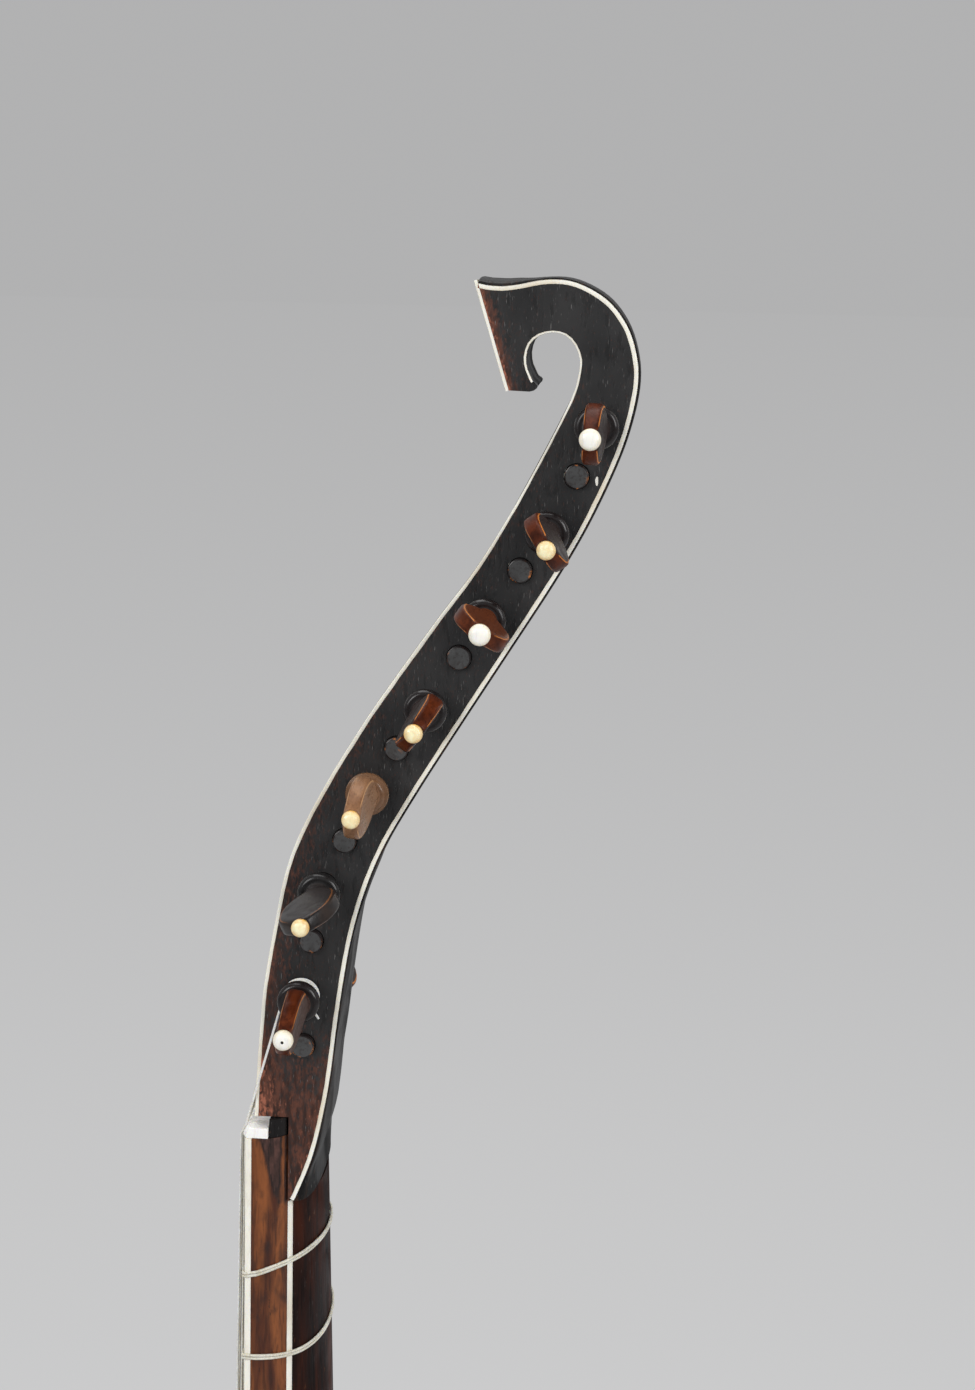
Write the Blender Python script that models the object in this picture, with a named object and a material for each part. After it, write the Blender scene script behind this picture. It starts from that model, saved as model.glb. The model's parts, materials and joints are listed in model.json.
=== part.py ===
"""Mandola with a sickle shaped pegbox, seven double courses and tied gut frets.

Units are metres in Blender. Sizes below are written in millimetres and turned
into metres by MM. Two measures place everything along the instrument:

  d  depth behind the playing face of the fingerboard and soundboard
  h  height above the foot of the pegbox, negative down the neck and body

X runs across the instrument, with the treble side at +X. The playing face looks
to -Y and the head is up. The origin is the centre of the strap button's end face.
"""

import math

import bmesh
import bpy
import numpy as np
from mathutils.geometry import tessellate_polygon

MM = 0.001

# Clearances
GAP = 0.3                     # air left between two pieces that touch
SHANK_CLEARANCE = 0.3         # round a peg in its hole

# Lengths along the instrument
STRING_LENGTH = 550.0         # nut to bridge
BODY_FRET = 9                 # the neck meets the body at this equal tempered fret
NUT_FRONT_H = -5.0            # side of the nut that faces the frets
NUT_THICKNESS = 2.7
BODY_LENGTH = 392.0
BUTTON_LENGTH = 11.0

# Neck
NECK_HALF_WIDTH_NUT = 25.6
NECK_HALF_WIDTH_BODY = 30.5
NECK_DEPTH_NUT = 16.4
NECK_DEPTH_BODY = 22.6
NECK_ROUND_NUT = 2.4          # power of the section's curve, 2 is an ellipse
NECK_ROUND_BODY = 2.0
NECK_STEPS = 5
NECK_ARC_STEPS = 10           # facets round the back of the neck
FINGERBOARD_THICKNESS = 1.6
EDGING_WIDTH = 1.5
SIDE_LINE_WIDTH = 1.3         # the bone line let into each side of the neck
SIDE_LINE_INLAY = 1.1
SPLICE_H = -22.6              # where the pegbox is spliced into the neck
SPLICE_DEPTH = 10.2           # front part of the neck that runs on to the nut

# Nut
NUT_HALF_LENGTH = 25.2
NUT_PROUD = 0.9               # nut above the fingerboard where the strings lie
NUT_END_SLOPE = 1.8
NUT_FALL = 1.2                # the upper edge of its front lies this much deeper
NUT_BACK_DEPTH = 5.7

# Body
BODY_HALF_WIDTH = 132.0
WIDEST_T = 250.0              # widest place, measured down from the neck joint
BODY_DEPTH_RATIO = 0.9        # depth of the bowl over its half width
DEEP_T = 150.0                # the ratio reaches its full value here
# Sections of the body above the widest place, as shares of the way to it
UPPER_SHARES = (0.088, 0.192, 0.32, 0.472, 0.64, 0.82)
# Sections round the tail, in degrees of its quarter turn
RIB_ANGLES = (0.0, 17.0, 33.0, 47.0, 59.0, 70.0)
EDGE_ANGLES = (0.0, 14.0, 27.0, 39.0, 50.0, 60.0, 69.0, 77.0, 84.0)
RIB_COUNT = 11
RIB_THICKNESS = 1.6
RIB_END_ANGLE = 79.5          # degrees round the tail where the ribs stop
SOUNDBOARD_THICKNESS = 1.8
ROSE_T = 132.0
ROSE_RADIUS = 36.0
ROSE_THICKNESS = 1.4
ROSE_SINK = 0.1               # its front behind the soundboard's
ROSE_SIDES = 32
ROSE_CENTRE_RADIUS = 4.6
# Rings of holes in the rose as (count, radius of the ring, radius of a hole)
ROSE_RINGS = ((6, 12.5, 4.7), (12, 25.5, 4.6))
ROSE_HOLE_SIDES = 8
BAR_PLACES = (-72.0, -44.0, 44.0, 86.0, 130.0)     # measured from the rose's centre
BAR_WIDTH = 5.0
BAR_HEIGHT = 12.0
BAR_END_HEIGHT = 4.0
BAR_END_CLEARANCE = 2.8
BAR_SCALLOP = 22.0            # length of the thinned end of each bar
NECK_BLOCK_LENGTH = 36.0
BLOCK_ARC_STEPS = 8
TAIL_BLOCK_HALF_WIDTH = 42.0
TAIL_BLOCK_DEPTH = 34.0
TAIL_BLOCK_HEIGHT = 30.0
TAIL_BLOCK_STEPS = 6
CLASP_HALF_LENGTH = 104.0
CLASP_DEPTH_MIDDLE = 30.0
CLASP_DEPTH_END = 14.0
CLASP_THICKNESS = 1.5
CLASP_STEPS = 20
SKIN_SHARES = (0.0, 0.33, 0.67, 1.0)     # sections from the soundboard backwards
CLASP_CLEARANCE = 0.6         # its flat facets dip towards the ribs between their corners
BUTTON_DEPTH = 14.0           # strap button's axis behind the playing face
BUTTON_BASE_RADIUS = 4.0
BUTTON_WAIST_RADIUS = 3.4
BUTTON_HEAD_RADIUS = 6.5
BUTTON_STEM_RADIUS = 2.5
BUTTON_STEM_LENGTH = 18.0
BUTTON_SIDES = 16
BUTTON_CHAMFER = 1.5
# Button's profile below its base as (distance from the base, radius)
BUTTON_NECK = ((1.5, BUTTON_BASE_RADIUS), (3.0, BUTTON_WAIST_RADIUS), (5.0, BUTTON_WAIST_RADIUS))
BUTTON_RIM = (3.5, 1.5)       # the widest band, measured from the end face

# Bridge
BRIDGE_HALF_LENGTH = 55.0
BRIDGE_WING = 14.0
BRIDGE_WIDTH = 11.0
BRIDGE_HEIGHT = 8.6
BRIDGE_WING_HEIGHT = 2.4
BRIDGE_WING_WIDTH = 8.0
BRIDGE_SHOULDER = 1.5         # length over which the block drops to the wings
BRIDGE_TIP_WIDTH = 2.0
BRIDGE_TIP_HEIGHT = 1.2

# Pegbox
CHEEK_HALF_WIDTH = 22.5       # outer face of each cheek at the foot
CHEEK_LEAN = 0.03             # how much each cheek draws in for each unit of height
CHEEK_THICKNESS = 3.4
BACK_LINE_WIDTH = 1.05        # bone line seen along the back edge of each cheek
# Width of the front edge's bone line as (h, width); it is finer in the hook
FRONT_LINE_WIDTHS = ((125.0, 0.9), (165.0, 0.5))
LINE_THICKNESS = 1.2
BACK_WALL = 2.5
BACK_WALL_FOOT = 0.9          # least wall where the back is solid at the foot
BACK_LIP = 0.3                # thinnest edge of the back, over the cheeks
BACK_ARC_STEPS = 8
BACK_ROUND = 0.8              # power of the crown's curve
PLATE_THICKNESS = 0.95
CAVITY_TOP_H = 183.5
CAVITY_FOOT_H = 1.5
HEAD_START = 2.0              # the back closes on the head this far above the cavity
HEAD_LAP = 0.2                # and stands this much off the head block
HEAD_BLOCK_H = 186.2          # lower end of the solid head between the cheeks
HEAD_INSET = 0.12

# Front edge of the cheek, foot to the tip of the hook, as (d, h)
FRONT_EDGE = (
    (1.9, 0.0), (1.95, 1.2), (2.4, 11.4), (3.1, 22.9), (3.9, 33.0), (5.2, 41.8), (7.1, 52.8),
    (9.4, 64.0), (13.1, 74.0), (19.6, 86.8), (25.2, 96.4), (31.7, 106.8), (45.5, 127.0),
    (54.6, 139.7), (62.9, 153.8), (70.5, 168.4), (76.1, 180.3), (77.6, 185.5),
    (77.9, 189.5), (76.6, 192.9), (74.3, 195.1), (71.3, 195.7), (68.2, 194.9),
    (66.0, 192.9), (65.2, 189.8), (65.6, 187.0), (66.6, 184.9),
    (67.0, 184.2),
)
# Blunt lower end of the head, then its flat front from bottom to top
HEAD_END = ((67.9, 183.2), (65.1, 181.9))
HEAD_FACE = ((60.4, 181.7), (52.3, 207.3))
# Top and back edge of the cheek, head to the tip of the tongue
BACK_EDGE = (
    (54.5, 206.6), (55.4, 206.4), (59.0, 206.2), (63.0, 206.7), (70.0, 208.0), (76.6, 207.4),
    (83.8, 203.7), (88.6, 198.0), (91.1, 191.5), (91.8, 184.5), (90.2, 175.0),
    (87.0, 165.0), (80.7, 150.7), (73.1, 136.8), (62.2, 119.0), (51.6, 101.8),
    (41.2, 84.6), (33.4, 70.5), (28.7, 58.5), (25.7, 47.0), (23.8, 35.5),
    (22.3, 24.0), (20.9, 11.5), (19.1, 0.5), (16.5, -10.5),
    (12.6, -20.8), (12.0, -22.0),
)

# How far the pegbox's back stands off the cheeks' back edge at its middle, as (h, height)
BACK_CROWNS = (
    (-22.3, 4.9), (-20.8, 4.0), (-14.6, 0.9), (-8.0, 1.7), (-2.0, 1.4), (4.4, 0.65),
    (45.0, 0.65), (62.0, 0.85), (180.0, 0.85), (195.0, 0.65),
)

# Pegs
PEG_TIP_RADIUS = 2.95
PEG_TAPER = 0.016             # gain in radius for each unit of length
PEG_TIP_OVERHANG = 1.5
COLLAR_START = 4.9            # from the cheek's outer face
COLLAR_RADIUS = 5.4
COLLAR_LENGTH = 3.2
PADDLE_LENGTH = 22.0
PADDLE_HALF_WIDTH = 7.0
PADDLE_HALF_THICKNESS = 2.8
# Blade of a peg: share of its length, of its half width and of its half thickness
PADDLE_SHAPE = (
    (0.05, 0.46, 1.05), (0.20, 0.82, 1.0), (0.40, 1.0, 0.86), (0.62, 1.0, 0.75),
    (0.82, 0.75, 0.72), (1.0, 0.36, 0.70),
)
PIP_RADIUS = 2.4
PIP_LENGTH = 2.4
# Pip as (share of its length, share of its radius)
PIP_SHAPE = ((0.0, 1.0), (0.6, 0.92), (1.0, 0.35))
COLLAR_DRAW = 0.96            # the collar's outer edge over its inner one
ROUND_SIDES = 10

# Axis of each peg as (d, h), from the nut upwards, and the paddle's rest angle
TREBLE_PEGS = (
    (13.6, 32.2, 82.0), (18.4, 59.7, 22.0), (29.8, 84.9, 84.0), (43.5, 105.8, 55.0),
    (57.1, 128.0, -35.0), (71.5, 149.1, -55.0), (82.4, 174.2, 88.0),
)
BASS_PEGS = (
    (14.0, 19.0, -50.0), (15.8, 46.0, 115.0), (23.8, 71.7, 30.0), (36.2, 95.1, 95.0),
    (50.9, 117.9, 150.0), (65.1, 139.4, 75.0), (78.0, 162.2, 10.0),
)
# How far the end of each treble blade was carved off the axis, along and across the blade
TREBLE_LEANS = (
    (-1.1, -0.15), (-1.4, -0.75), (-0.3, 0.9), (-0.65, 0.15), (0.1, 0.9), (1.1, 0.15),
    (-0.9, 1.0),
)

# Strings
STRING_RADIUS = 0.3
STRING_PROUD_NUT = 1.5        # string's centre above the fingerboard at the nut
STRING_PROUD_BRIDGE = 6.5
COURSE_PITCH = 6.3
PAIR_SPACING = 2.6
FIRST_STRING_X = 22.2
COURSE_COUNT = 7
BRIDGE_COURSE_PITCH = 13.0
BRIDGE_PAIR_SPACING = 4.5
# Where each string reaches its peg, across the pegbox
TREBLE_WINDING_X = (23.9, 13.5, 10.2, 7.3, 4.8, 2.5, 0.4)
BASS_WINDING_X = (-15.8, -11.9, -9.1, -6.7, -4.8, -2.9, -1.2)
WINDING_TURNS = 2.6           # turns of the first string, outside the cheek
HIDDEN_TURNS = 1.2            # turns of the strings inside the pegbox
WINDING_PITCH = 1.05
POINTS_PER_TURN = 24
POINTS_PER_HIDDEN_TURN = 16

# Frets: cents above the open string of a quarter comma tuning
FRET_CENTS = (117.1, 193.2, 310.3, 386.3, 503.4, 579.5, 696.6, 813.7)
FRET_RADIUS = 0.45
# How far each tied fret has been pushed up at the treble side of the neck's back
FRET_RISES = (3.4, -0.8, 0.9, -0.5, 0.7, 0.3, -0.6, 0.5)
FRET_SKEW = 0.66              # below 1 puts the highest place nearer the treble side
FRET_PEAK = 1.6
FRET_ARC_STEPS = 10

# Edges flatter than these angles are shaded smooth, in degrees
SMOOTH_TURNED = 35.0
SMOOTH_NECK = 40.0
SMOOTH_RIBS = 12.0

BODY_JOINT_H = NUT_FRONT_H - STRING_LENGTH * (1.0 - 2.0 ** (-BODY_FRET / 12.0))
BOWL_DEPTH = BODY_DEPTH_RATIO * BODY_HALF_WIDTH
TAIL_REACH = BODY_LENGTH - WIDEST_T
FACE_BACK = SOUNDBOARD_THICKNESS + GAP


def button_base_t():
    """Distance below the neck joint where the strap button stands on the clasp."""
    nearest = (BUTTON_DEPTH - BUTTON_BASE_RADIUS) / BOWL_DEPTH
    surface = WIDEST_T + TAIL_REACH * math.sqrt(1.0 - nearest * nearest)
    return surface + CLASP_CLEARANCE + CLASP_THICKNESS + GAP


FOOT_Z = BUTTON_LENGTH + button_base_t() - BODY_JOINT_H


def place(x, d, h):
    """World position in metres of a point given across, in depth and in height."""
    return (x * MM, (d - BUTTON_DEPTH) * MM, (h + FOOT_Z) * MM)


def clear_scene():
    for item in list(bpy.data.objects):
        bpy.data.objects.remove(item, do_unlink=True)


def make_material(name, colour, roughness, metallic=0.0):
    made = bpy.data.materials.new(name)
    made.use_nodes = True
    shader = made.node_tree.nodes["Principled BSDF"]
    shader.inputs["Base Color"].default_value = (*colour, 1.0)
    shader.inputs["Roughness"].default_value = roughness
    shader.inputs["Metallic"].default_value = metallic
    return made


def add_mesh(name, vertices, faces, material, smooth_angle=None):
    """One mesh object from vertices in metres, with doubles merged and faces outward."""
    mesh = bpy.data.meshes.new(name)
    mesh.from_pydata(vertices, [], faces)
    work = bmesh.new()
    work.from_mesh(mesh)
    bmesh.ops.remove_doubles(work, verts=work.verts, dist=1e-6)
    bmesh.ops.dissolve_degenerate(work, edges=work.edges, dist=1e-6)
    bmesh.ops.recalc_face_normals(work, faces=work.faces)
    work.to_mesh(mesh)
    work.free()
    if smooth_angle is not None:
        mesh.shade_smooth()
        mesh.set_sharp_from_angle(angle=math.radians(smooth_angle))
    mesh.materials.append(material)
    made = bpy.data.objects.new(name, mesh)
    bpy.context.scene.collection.objects.link(made)
    return made


class Solids:
    """Collects the vertices and faces of one or more closed solids for one node."""

    def __init__(self):
        self.vertices = []
        self.faces = []

    def add(self, vertices, faces):
        base = len(self.vertices)
        self.vertices.extend(vertices)
        self.faces.extend(tuple(base + index for index in face) for face in faces)

    def loft(self, sections):
        """Skin a row of equal closed sections, each a list of points, and cap the ends."""
        count = len(sections[0])
        vertices = [point for section in sections for point in section]
        faces = []
        for row in range(len(sections) - 1):
            for index in range(count):
                after = (index + 1) % count
                low = row * count
                high = low + count
                faces.append((low + index, low + after, high + after, high + index))
        faces.append(tuple(reversed(range(count))))
        last = (len(sections) - 1) * count
        faces.append(tuple(last + index for index in range(count)))
        self.add(vertices, faces)

    def plate(self, outline, holes, front, back):
        """A flat plate with holes; front and back turn a (d, h) pair into a place."""
        loops = [list(outline)] + [list(hole) for hole in holes]
        flat = [point for loop in loops for point in loop]
        count = len(flat)
        vertices = [front(*point) for point in flat] + [back(*point) for point in flat]
        triangles = tessellate_polygon([[(u, v, 0.0) for u, v in loop] for loop in loops])
        faces = [tuple(triangle) for triangle in triangles]
        faces += [tuple(count + index for index in reversed(triangle)) for triangle in triangles]
        start = 0
        for loop in loops:
            for index in range(len(loop)):
                one = start + index
                two = start + (index + 1) % len(loop)
                faces.append((one, two, count + two, count + one))
            start += len(loop)
        self.add(vertices, faces)

    def build(self, name, material, smooth_angle=None):
        return add_mesh(name, self.vertices, self.faces, material, smooth_angle)


def combine(target, tool, operation):
    """Unite a tool with its target or cut it away, and keep the tool out of the model."""
    step = target.modifiers.new(operation.title(), "BOOLEAN")
    step.operation = operation
    step.object = tool
    step.solver = "EXACT"
    tool.display_type = "WIRE"
    tool.hide_render = True


def add_tube(name, route, radius, material, resolution=2, closed=False):
    """A round tube along a route, a list of places in metres."""
    curve = bpy.data.curves.new(name, "CURVE")
    curve.dimensions = "3D"
    curve.bevel_depth = radius * MM
    curve.bevel_resolution = resolution
    curve.use_fill_caps = not closed
    spline = curve.splines.new("POLY")
    spline.points.add(len(route) - 1)
    for point, position in zip(spline.points, route):
        point.co = (*position, 1.0)
    spline.use_cyclic_u = closed
    curve.materials.append(material)
    made = bpy.data.objects.new(name, curve)
    bpy.context.scene.collection.objects.link(made)
    return made


# Plane curves

def smooth_curve(points, longest=16.0):
    """Points along a smooth curve through the given ones, closer where it is long."""
    ends = [points[0]] + list(points) + [points[-1]]
    result = []
    for index in range(1, len(ends) - 2):
        p0, p1, p2, p3 = (np.array(ends[index + step], dtype=float) for step in (-1, 0, 1, 2))
        pieces = 1 if np.linalg.norm(p2 - p1) < longest else 2
        for piece in range(pieces):
            s = piece / pieces
            point = 0.5 * (2.0 * p1 + (p2 - p0) * s
                           + (2.0 * p0 - 5.0 * p1 + 4.0 * p2 - p3) * s ** 2
                           + (3.0 * p1 - p0 - 3.0 * p2 + p3) * s ** 3)
            result.append(tuple(float(value) for value in point))
    result.append(tuple(points[-1]))
    return result


def normals_right(points):
    """Unit normals to the right of a polyline, along the mean direction at each point."""
    result = []
    for index in range(len(points)):
        before = np.array(points[max(index - 1, 0)])
        after = np.array(points[min(index + 1, len(points) - 1)])
        run = after - before
        result.append(np.array((run[1], -run[0])) / np.linalg.norm(run))
    return result


def shifted(points, amount):
    """A polyline moved to its right by amount."""
    return [tuple(np.array(point) + amount * normal)
            for point, normal in zip(points, normals_right(points))]


def circle(d, h, radius, sides=ROUND_SIDES):
    """A polygon round (d, h) whose flats clear the radius."""
    reach = radius / math.cos(math.pi / sides)
    step = 2.0 * math.pi / sides
    return [(d + reach * math.cos(step * k), h + reach * math.sin(step * k)) for k in range(sides)]


def interpolate(table, value):
    """Value of a table of (place, amount) pairs, held at its ends."""
    return float(np.interp(value, [row[0] for row in table], [row[1] for row in table]))


# Neck

def neck_size(h):
    """Half width, depth and roundness of the neck's section."""
    share = (NUT_FRONT_H - h) / (NUT_FRONT_H - BODY_JOINT_H)
    half = NECK_HALF_WIDTH_NUT + (NECK_HALF_WIDTH_BODY - NECK_HALF_WIDTH_NUT) * share
    depth = NECK_DEPTH_NUT + (NECK_DEPTH_BODY - NECK_DEPTH_NUT) * share
    power = NECK_ROUND_NUT + (NECK_ROUND_BODY - NECK_ROUND_NUT) * share
    return half, depth, power


def neck_width_at(h, d):
    half, depth, power = neck_size(h)
    return half * max(0.0, 1.0 - (max(d, 0.0) / depth) ** power) ** (1.0 / power)


def neck_back_arc(h, first_depth, steps, clearance=0.0):
    """Points round the back of the neck, or that far outside it, from side to side."""
    half, depth, power = neck_size(h)
    start = math.asin(min(1.0, (first_depth / depth) ** (0.5 * power)))
    arc = []
    for index in range(steps + 1):
        angle = start + (math.pi - 2.0 * start) * index / steps
        across = math.copysign(abs(math.cos(angle)) ** (2.0 / power), math.cos(angle))
        arc.append(((half + clearance) * across,
                    (depth + clearance) * math.sin(angle) ** (2.0 / power)))
    return arc


def neck_section(h):
    """Section of the neck, with a groove for the bone line on each side."""
    top = FINGERBOARD_THICKNESS + GAP
    nut_rest = NUT_BACK_DEPTH + GAP
    groove_top = SPLICE_DEPTH
    groove_end = SPLICE_DEPTH + 2.0 * GAP + SIDE_LINE_WIDTH
    sink = SIDE_LINE_INLAY + GAP
    upper = neck_width_at(h, groove_top)
    lower = neck_width_at(h, groove_end)
    side = [(neck_width_at(h, top), top), (neck_width_at(h, nut_rest), nut_rest),
            (upper, groove_top), (upper - sink, groove_top), (lower - sink, groove_end)]
    return side + neck_back_arc(h, groove_end, NECK_ARC_STEPS) + [(-x, d) for x, d in reversed(side)]


def neck_stations():
    """Heights of the neck's sections from the body to the splice."""
    return [BODY_JOINT_H + (SPLICE_H - BODY_JOINT_H) * index / NECK_STEPS
            for index in range(NECK_STEPS + 1)]


def build_neck(wood):
    """The neck, which steps down to its front part at the splice and again behind the nut."""
    count = len(neck_section(SPLICE_H))
    everything = list(range(count))
    front = everything[:4] + everything[-4:]
    rest = everything[1:4] + everything[-4:-1]
    stages = (
        (neck_stations(), everything, everything[3:-3]),
        ((0.5 * (SPLICE_H + NUT_FRONT_H), NUT_FRONT_H - GAP), front,
         [count - 2, count - 1, 0, 1]),
        ((-GAP,), rest, rest),
    )
    vertices = []
    faces = []
    below = None
    for heights, kept, step in stages:
        for h in heights:
            section = neck_section(h)
            row = {index: len(vertices) + place_in_row for place_in_row, index in enumerate(kept)}
            vertices.extend(place(*section[index], h) for index in kept)
            if below is None:
                faces.append(tuple(row[index] for index in reversed(kept)))
            else:
                for one, two in zip(kept, kept[1:] + kept[:1]):
                    faces.append((below[one], below[two], row[two], row[one]))
            below = row
        faces.append(tuple(below[index] for index in step))
    add_mesh("neck", vertices, faces, wood, SMOOTH_NECK)


def build_neck_lines(bone):
    """Bone edgings beside the fingerboard and bone lines let into the neck's sides."""
    low, high = BODY_JOINT_H, NUT_FRONT_H - GAP
    for side, word in ((1, "treble"), (-1, "bass")):
        edging = Solids()
        sections = []
        for h in (low, high):
            half = neck_size(h)[0]
            inner = half - EDGING_WIDTH
            sections.append([place(side * x, d, h) for x, d in (
                (half, 0.0), (half, FINGERBOARD_THICKNESS),
                (inner, FINGERBOARD_THICKNESS), (inner, 0.0))])
        edging.loft(sections)
        edging.build(f"edging_{word}", bone)
        line = Solids()
        sections = []
        near = SPLICE_DEPTH + GAP
        far = near + SIDE_LINE_WIDTH
        for h in neck_stations():
            upper, lower = neck_width_at(h, near), neck_width_at(h, far)
            sections.append([place(side * x, d, h) for x, d in (
                (upper, near), (lower, far),
                (lower - SIDE_LINE_INLAY, far), (upper - SIDE_LINE_INLAY, near))])
        line.loft(sections)
        line.build(f"side_line_{word}", bone)


def build_fingerboard(wood):
    solid = Solids()
    sections = []
    for h in (BODY_JOINT_H, NUT_FRONT_H - GAP):
        half = neck_size(h)[0] - EDGING_WIDTH - GAP
        section = ((half, 0.0), (half, FINGERBOARD_THICKNESS),
                   (-half, FINGERBOARD_THICKNESS), (-half, 0.0))
        sections.append([place(x, d, h) for x, d in section])
    solid.loft(sections)
    solid.build("fingerboard", wood)


def build_nut(bone):
    """The nut's front is level with the strings' bed and falls away at both ends."""
    solid = Solids()
    sections = []
    low, high = NUT_FRONT_H, NUT_FRONT_H + NUT_THICKNESS
    shoulder = NUT_HALF_LENGTH - NUT_END_SLOPE
    for x, front in ((-NUT_HALF_LENGTH, 0.0), (-shoulder, -NUT_PROUD),
                     (shoulder, -NUT_PROUD), (NUT_HALF_LENGTH, 0.0)):
        sections.append([place(x, front, low), place(x, front + NUT_FALL, high),
                         place(x, NUT_BACK_DEPTH, high), place(x, NUT_BACK_DEPTH, low)])
    solid.loft(sections)
    solid.build("nut", bone)


def fret_height(cents):
    return NUT_FRONT_H - STRING_LENGTH * (1.0 - 2.0 ** (-cents / 1200.0))


def fret_bulge(share):
    """How much of its rise a fret has at a share of the way round the neck's back."""
    return math.sin(math.pi * share ** FRET_SKEW) ** FRET_PEAK if 0.0 < share < 1.0 else 0.0


def build_frets(gut):
    """Each fret is a loop of gut round the neck, tight on the fingerboard."""
    reach = GAP + FRET_RADIUS
    bend = reach * math.sqrt(0.5)
    for number, (cents, rise) in enumerate(zip(FRET_CENTS, FRET_RISES), 1):
        h = fret_height(cents)
        half = neck_size(h)[0]
        corner = [(half, -reach), (half + bend, -bend), (half + reach, 0.0)]
        loop = [place(x, d, h) for x, d in corner]
        for index, (x, d) in enumerate(neck_back_arc(h, reach, FRET_ARC_STEPS, reach)):
            loop.append(place(x, d, h + rise * fret_bulge(index / FRET_ARC_STEPS)))
        loop += [place(-x, d, h) for x, d in reversed(corner)]
        add_tube(f"fret_{number}", loop, FRET_RADIUS, gut, 1, True)


# Body

def body_section(t):
    """Half width and depth of the bowl at the distance t below the neck joint."""
    if t <= WIDEST_T:
        gain = BODY_HALF_WIDTH - NECK_HALF_WIDTH_BODY
        half = NECK_HALF_WIDTH_BODY + gain * math.sin(0.5 * math.pi * t / WIDEST_T)
    else:
        along = min(1.0, (t - WIDEST_T) / TAIL_REACH)
        half = BODY_HALF_WIDTH * math.sqrt(max(0.0, 1.0 - along * along))
    start = NECK_DEPTH_BODY / NECK_HALF_WIDTH_BODY
    blend = min(1.0, t / DEEP_T)
    ease = blend * blend * (3.0 - 2.0 * blend)
    return half, half * (start + (BODY_DEPTH_RATIO - start) * ease)


def tail_t(angle):
    """Distance below the neck joint at an angle in degrees round the tail's quarter."""
    return WIDEST_T + TAIL_REACH * math.sin(math.radians(angle))


def body_place(x, d, t):
    return place(x, d, BODY_JOINT_H - t)


def upper_ts():
    """Distances of the body's sections above its widest place."""
    return [GAP] + [share * WIDEST_T for share in UPPER_SHARES]


def bowl_angle(depth, share):
    """Angle round the bowl's section; share runs from the treble edge to the bass edge."""
    start = math.asin(min(1.0, FACE_BACK / depth))
    return start + (math.pi - 2.0 * start) * share


def bowl_arc(t, inset):
    """Points round the bowl's section from the treble edge to the bass edge."""
    half, depth = body_section(t)
    half, depth = half - inset, depth - inset
    steps = 2 * RIB_COUNT
    arc = []
    for index in range(steps + 1):
        angle = bowl_angle(depth, index / steps)
        arc.append(body_place(half * math.cos(angle), depth * math.sin(angle), t))
    return arc


def build_bowl(wood):
    """The bowl, built up of ribs that meet in a line every second facet."""
    lower = [tail_t(angle) for angle in RIB_ANGLES + (RIB_END_ANGLE,)]
    solid = Solids()
    solid.loft([bowl_arc(t, 0.0) + bowl_arc(t, RIB_THICKNESS)[::-1] for t in upper_ts() + lower])
    solid.build("bowl", wood, SMOOTH_RIBS)


def body_outline():
    """Edge of the soundboard as (x, t), all the way round."""
    ts = upper_ts() + [tail_t(angle) for angle in EDGE_ANGLES]
    side = [(body_section(t)[0], t) for t in ts]
    return side + [(0.0, BODY_LENGTH)] + [(-x, t) for x, t in reversed(side)]


def build_soundboard(spruce):
    """The soundboard with its five bars glued on behind."""
    solid = Solids()
    hole = circle(0.0, ROSE_T, ROSE_RADIUS + GAP, ROSE_SIDES)
    solid.plate(body_outline(), [hole], lambda x, t: body_place(x, 0.0, t),
                lambda x, t: body_place(x, SOUNDBOARD_THICKNESS, t))
    board = solid.build("soundboard", spruce)
    combine(board, build_bars(spruce), "UNION")


def build_rose(wood):
    """A pierced roundel: a centre hole, a ring of six and a ring of twelve."""
    holes = [circle(0.0, ROSE_T, ROSE_CENTRE_RADIUS)]
    for count, ring, radius in ROSE_RINGS:
        for index in range(count):
            angle = 2.0 * math.pi * index / count
            holes.append(circle(ring * math.cos(angle), ROSE_T + ring * math.sin(angle),
                                radius, ROSE_HOLE_SIDES))
    solid = Solids()
    outline = circle(0.0, ROSE_T, ROSE_RADIUS * math.cos(math.pi / ROSE_SIDES), ROSE_SIDES)
    solid.plate(outline, holes, lambda x, t: body_place(x, ROSE_SINK, t),
                lambda x, t: body_place(x, ROSE_SINK + ROSE_THICKNESS, t))
    solid.build("rose", wood)


def bar_half_length(t, d):
    """How far a bar may reach across inside the bowl at depth d."""
    reach = []
    for edge in (t - 0.5 * BAR_WIDTH, t + 0.5 * BAR_WIDTH):
        half, depth = body_section(edge)
        inner_half = half - RIB_THICKNESS - GAP
        inner_depth = depth - RIB_THICKNESS - GAP
        reach.append(inner_half * math.sqrt(1.0 - (d / inner_depth) ** 2))
    return min(reach) - BAR_END_CLEARANCE


def build_bars(spruce):
    """Form of the bars, sunk a little into the soundboard and thinned at the ends."""
    solid = Solids()
    root = 0.5 * SOUNDBOARD_THICKNESS
    for away in BAR_PLACES:
        t = ROSE_T + away
        low, high = t - 0.5 * BAR_WIDTH, t + 0.5 * BAR_WIDTH
        end = bar_half_length(t, SOUNDBOARD_THICKNESS + BAR_END_HEIGHT)
        sections = []
        for x, height in ((-end, BAR_END_HEIGHT), (BAR_SCALLOP - end, BAR_HEIGHT),
                          (end - BAR_SCALLOP, BAR_HEIGHT), (end, BAR_END_HEIGHT)):
            tip = SOUNDBOARD_THICKNESS + height
            sections.append([body_place(x, root, low), body_place(x, root, high),
                             body_place(x, tip, high), body_place(x, tip, low)])
        solid.loft(sections)
    return solid.build("bars_form", spruce)


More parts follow.
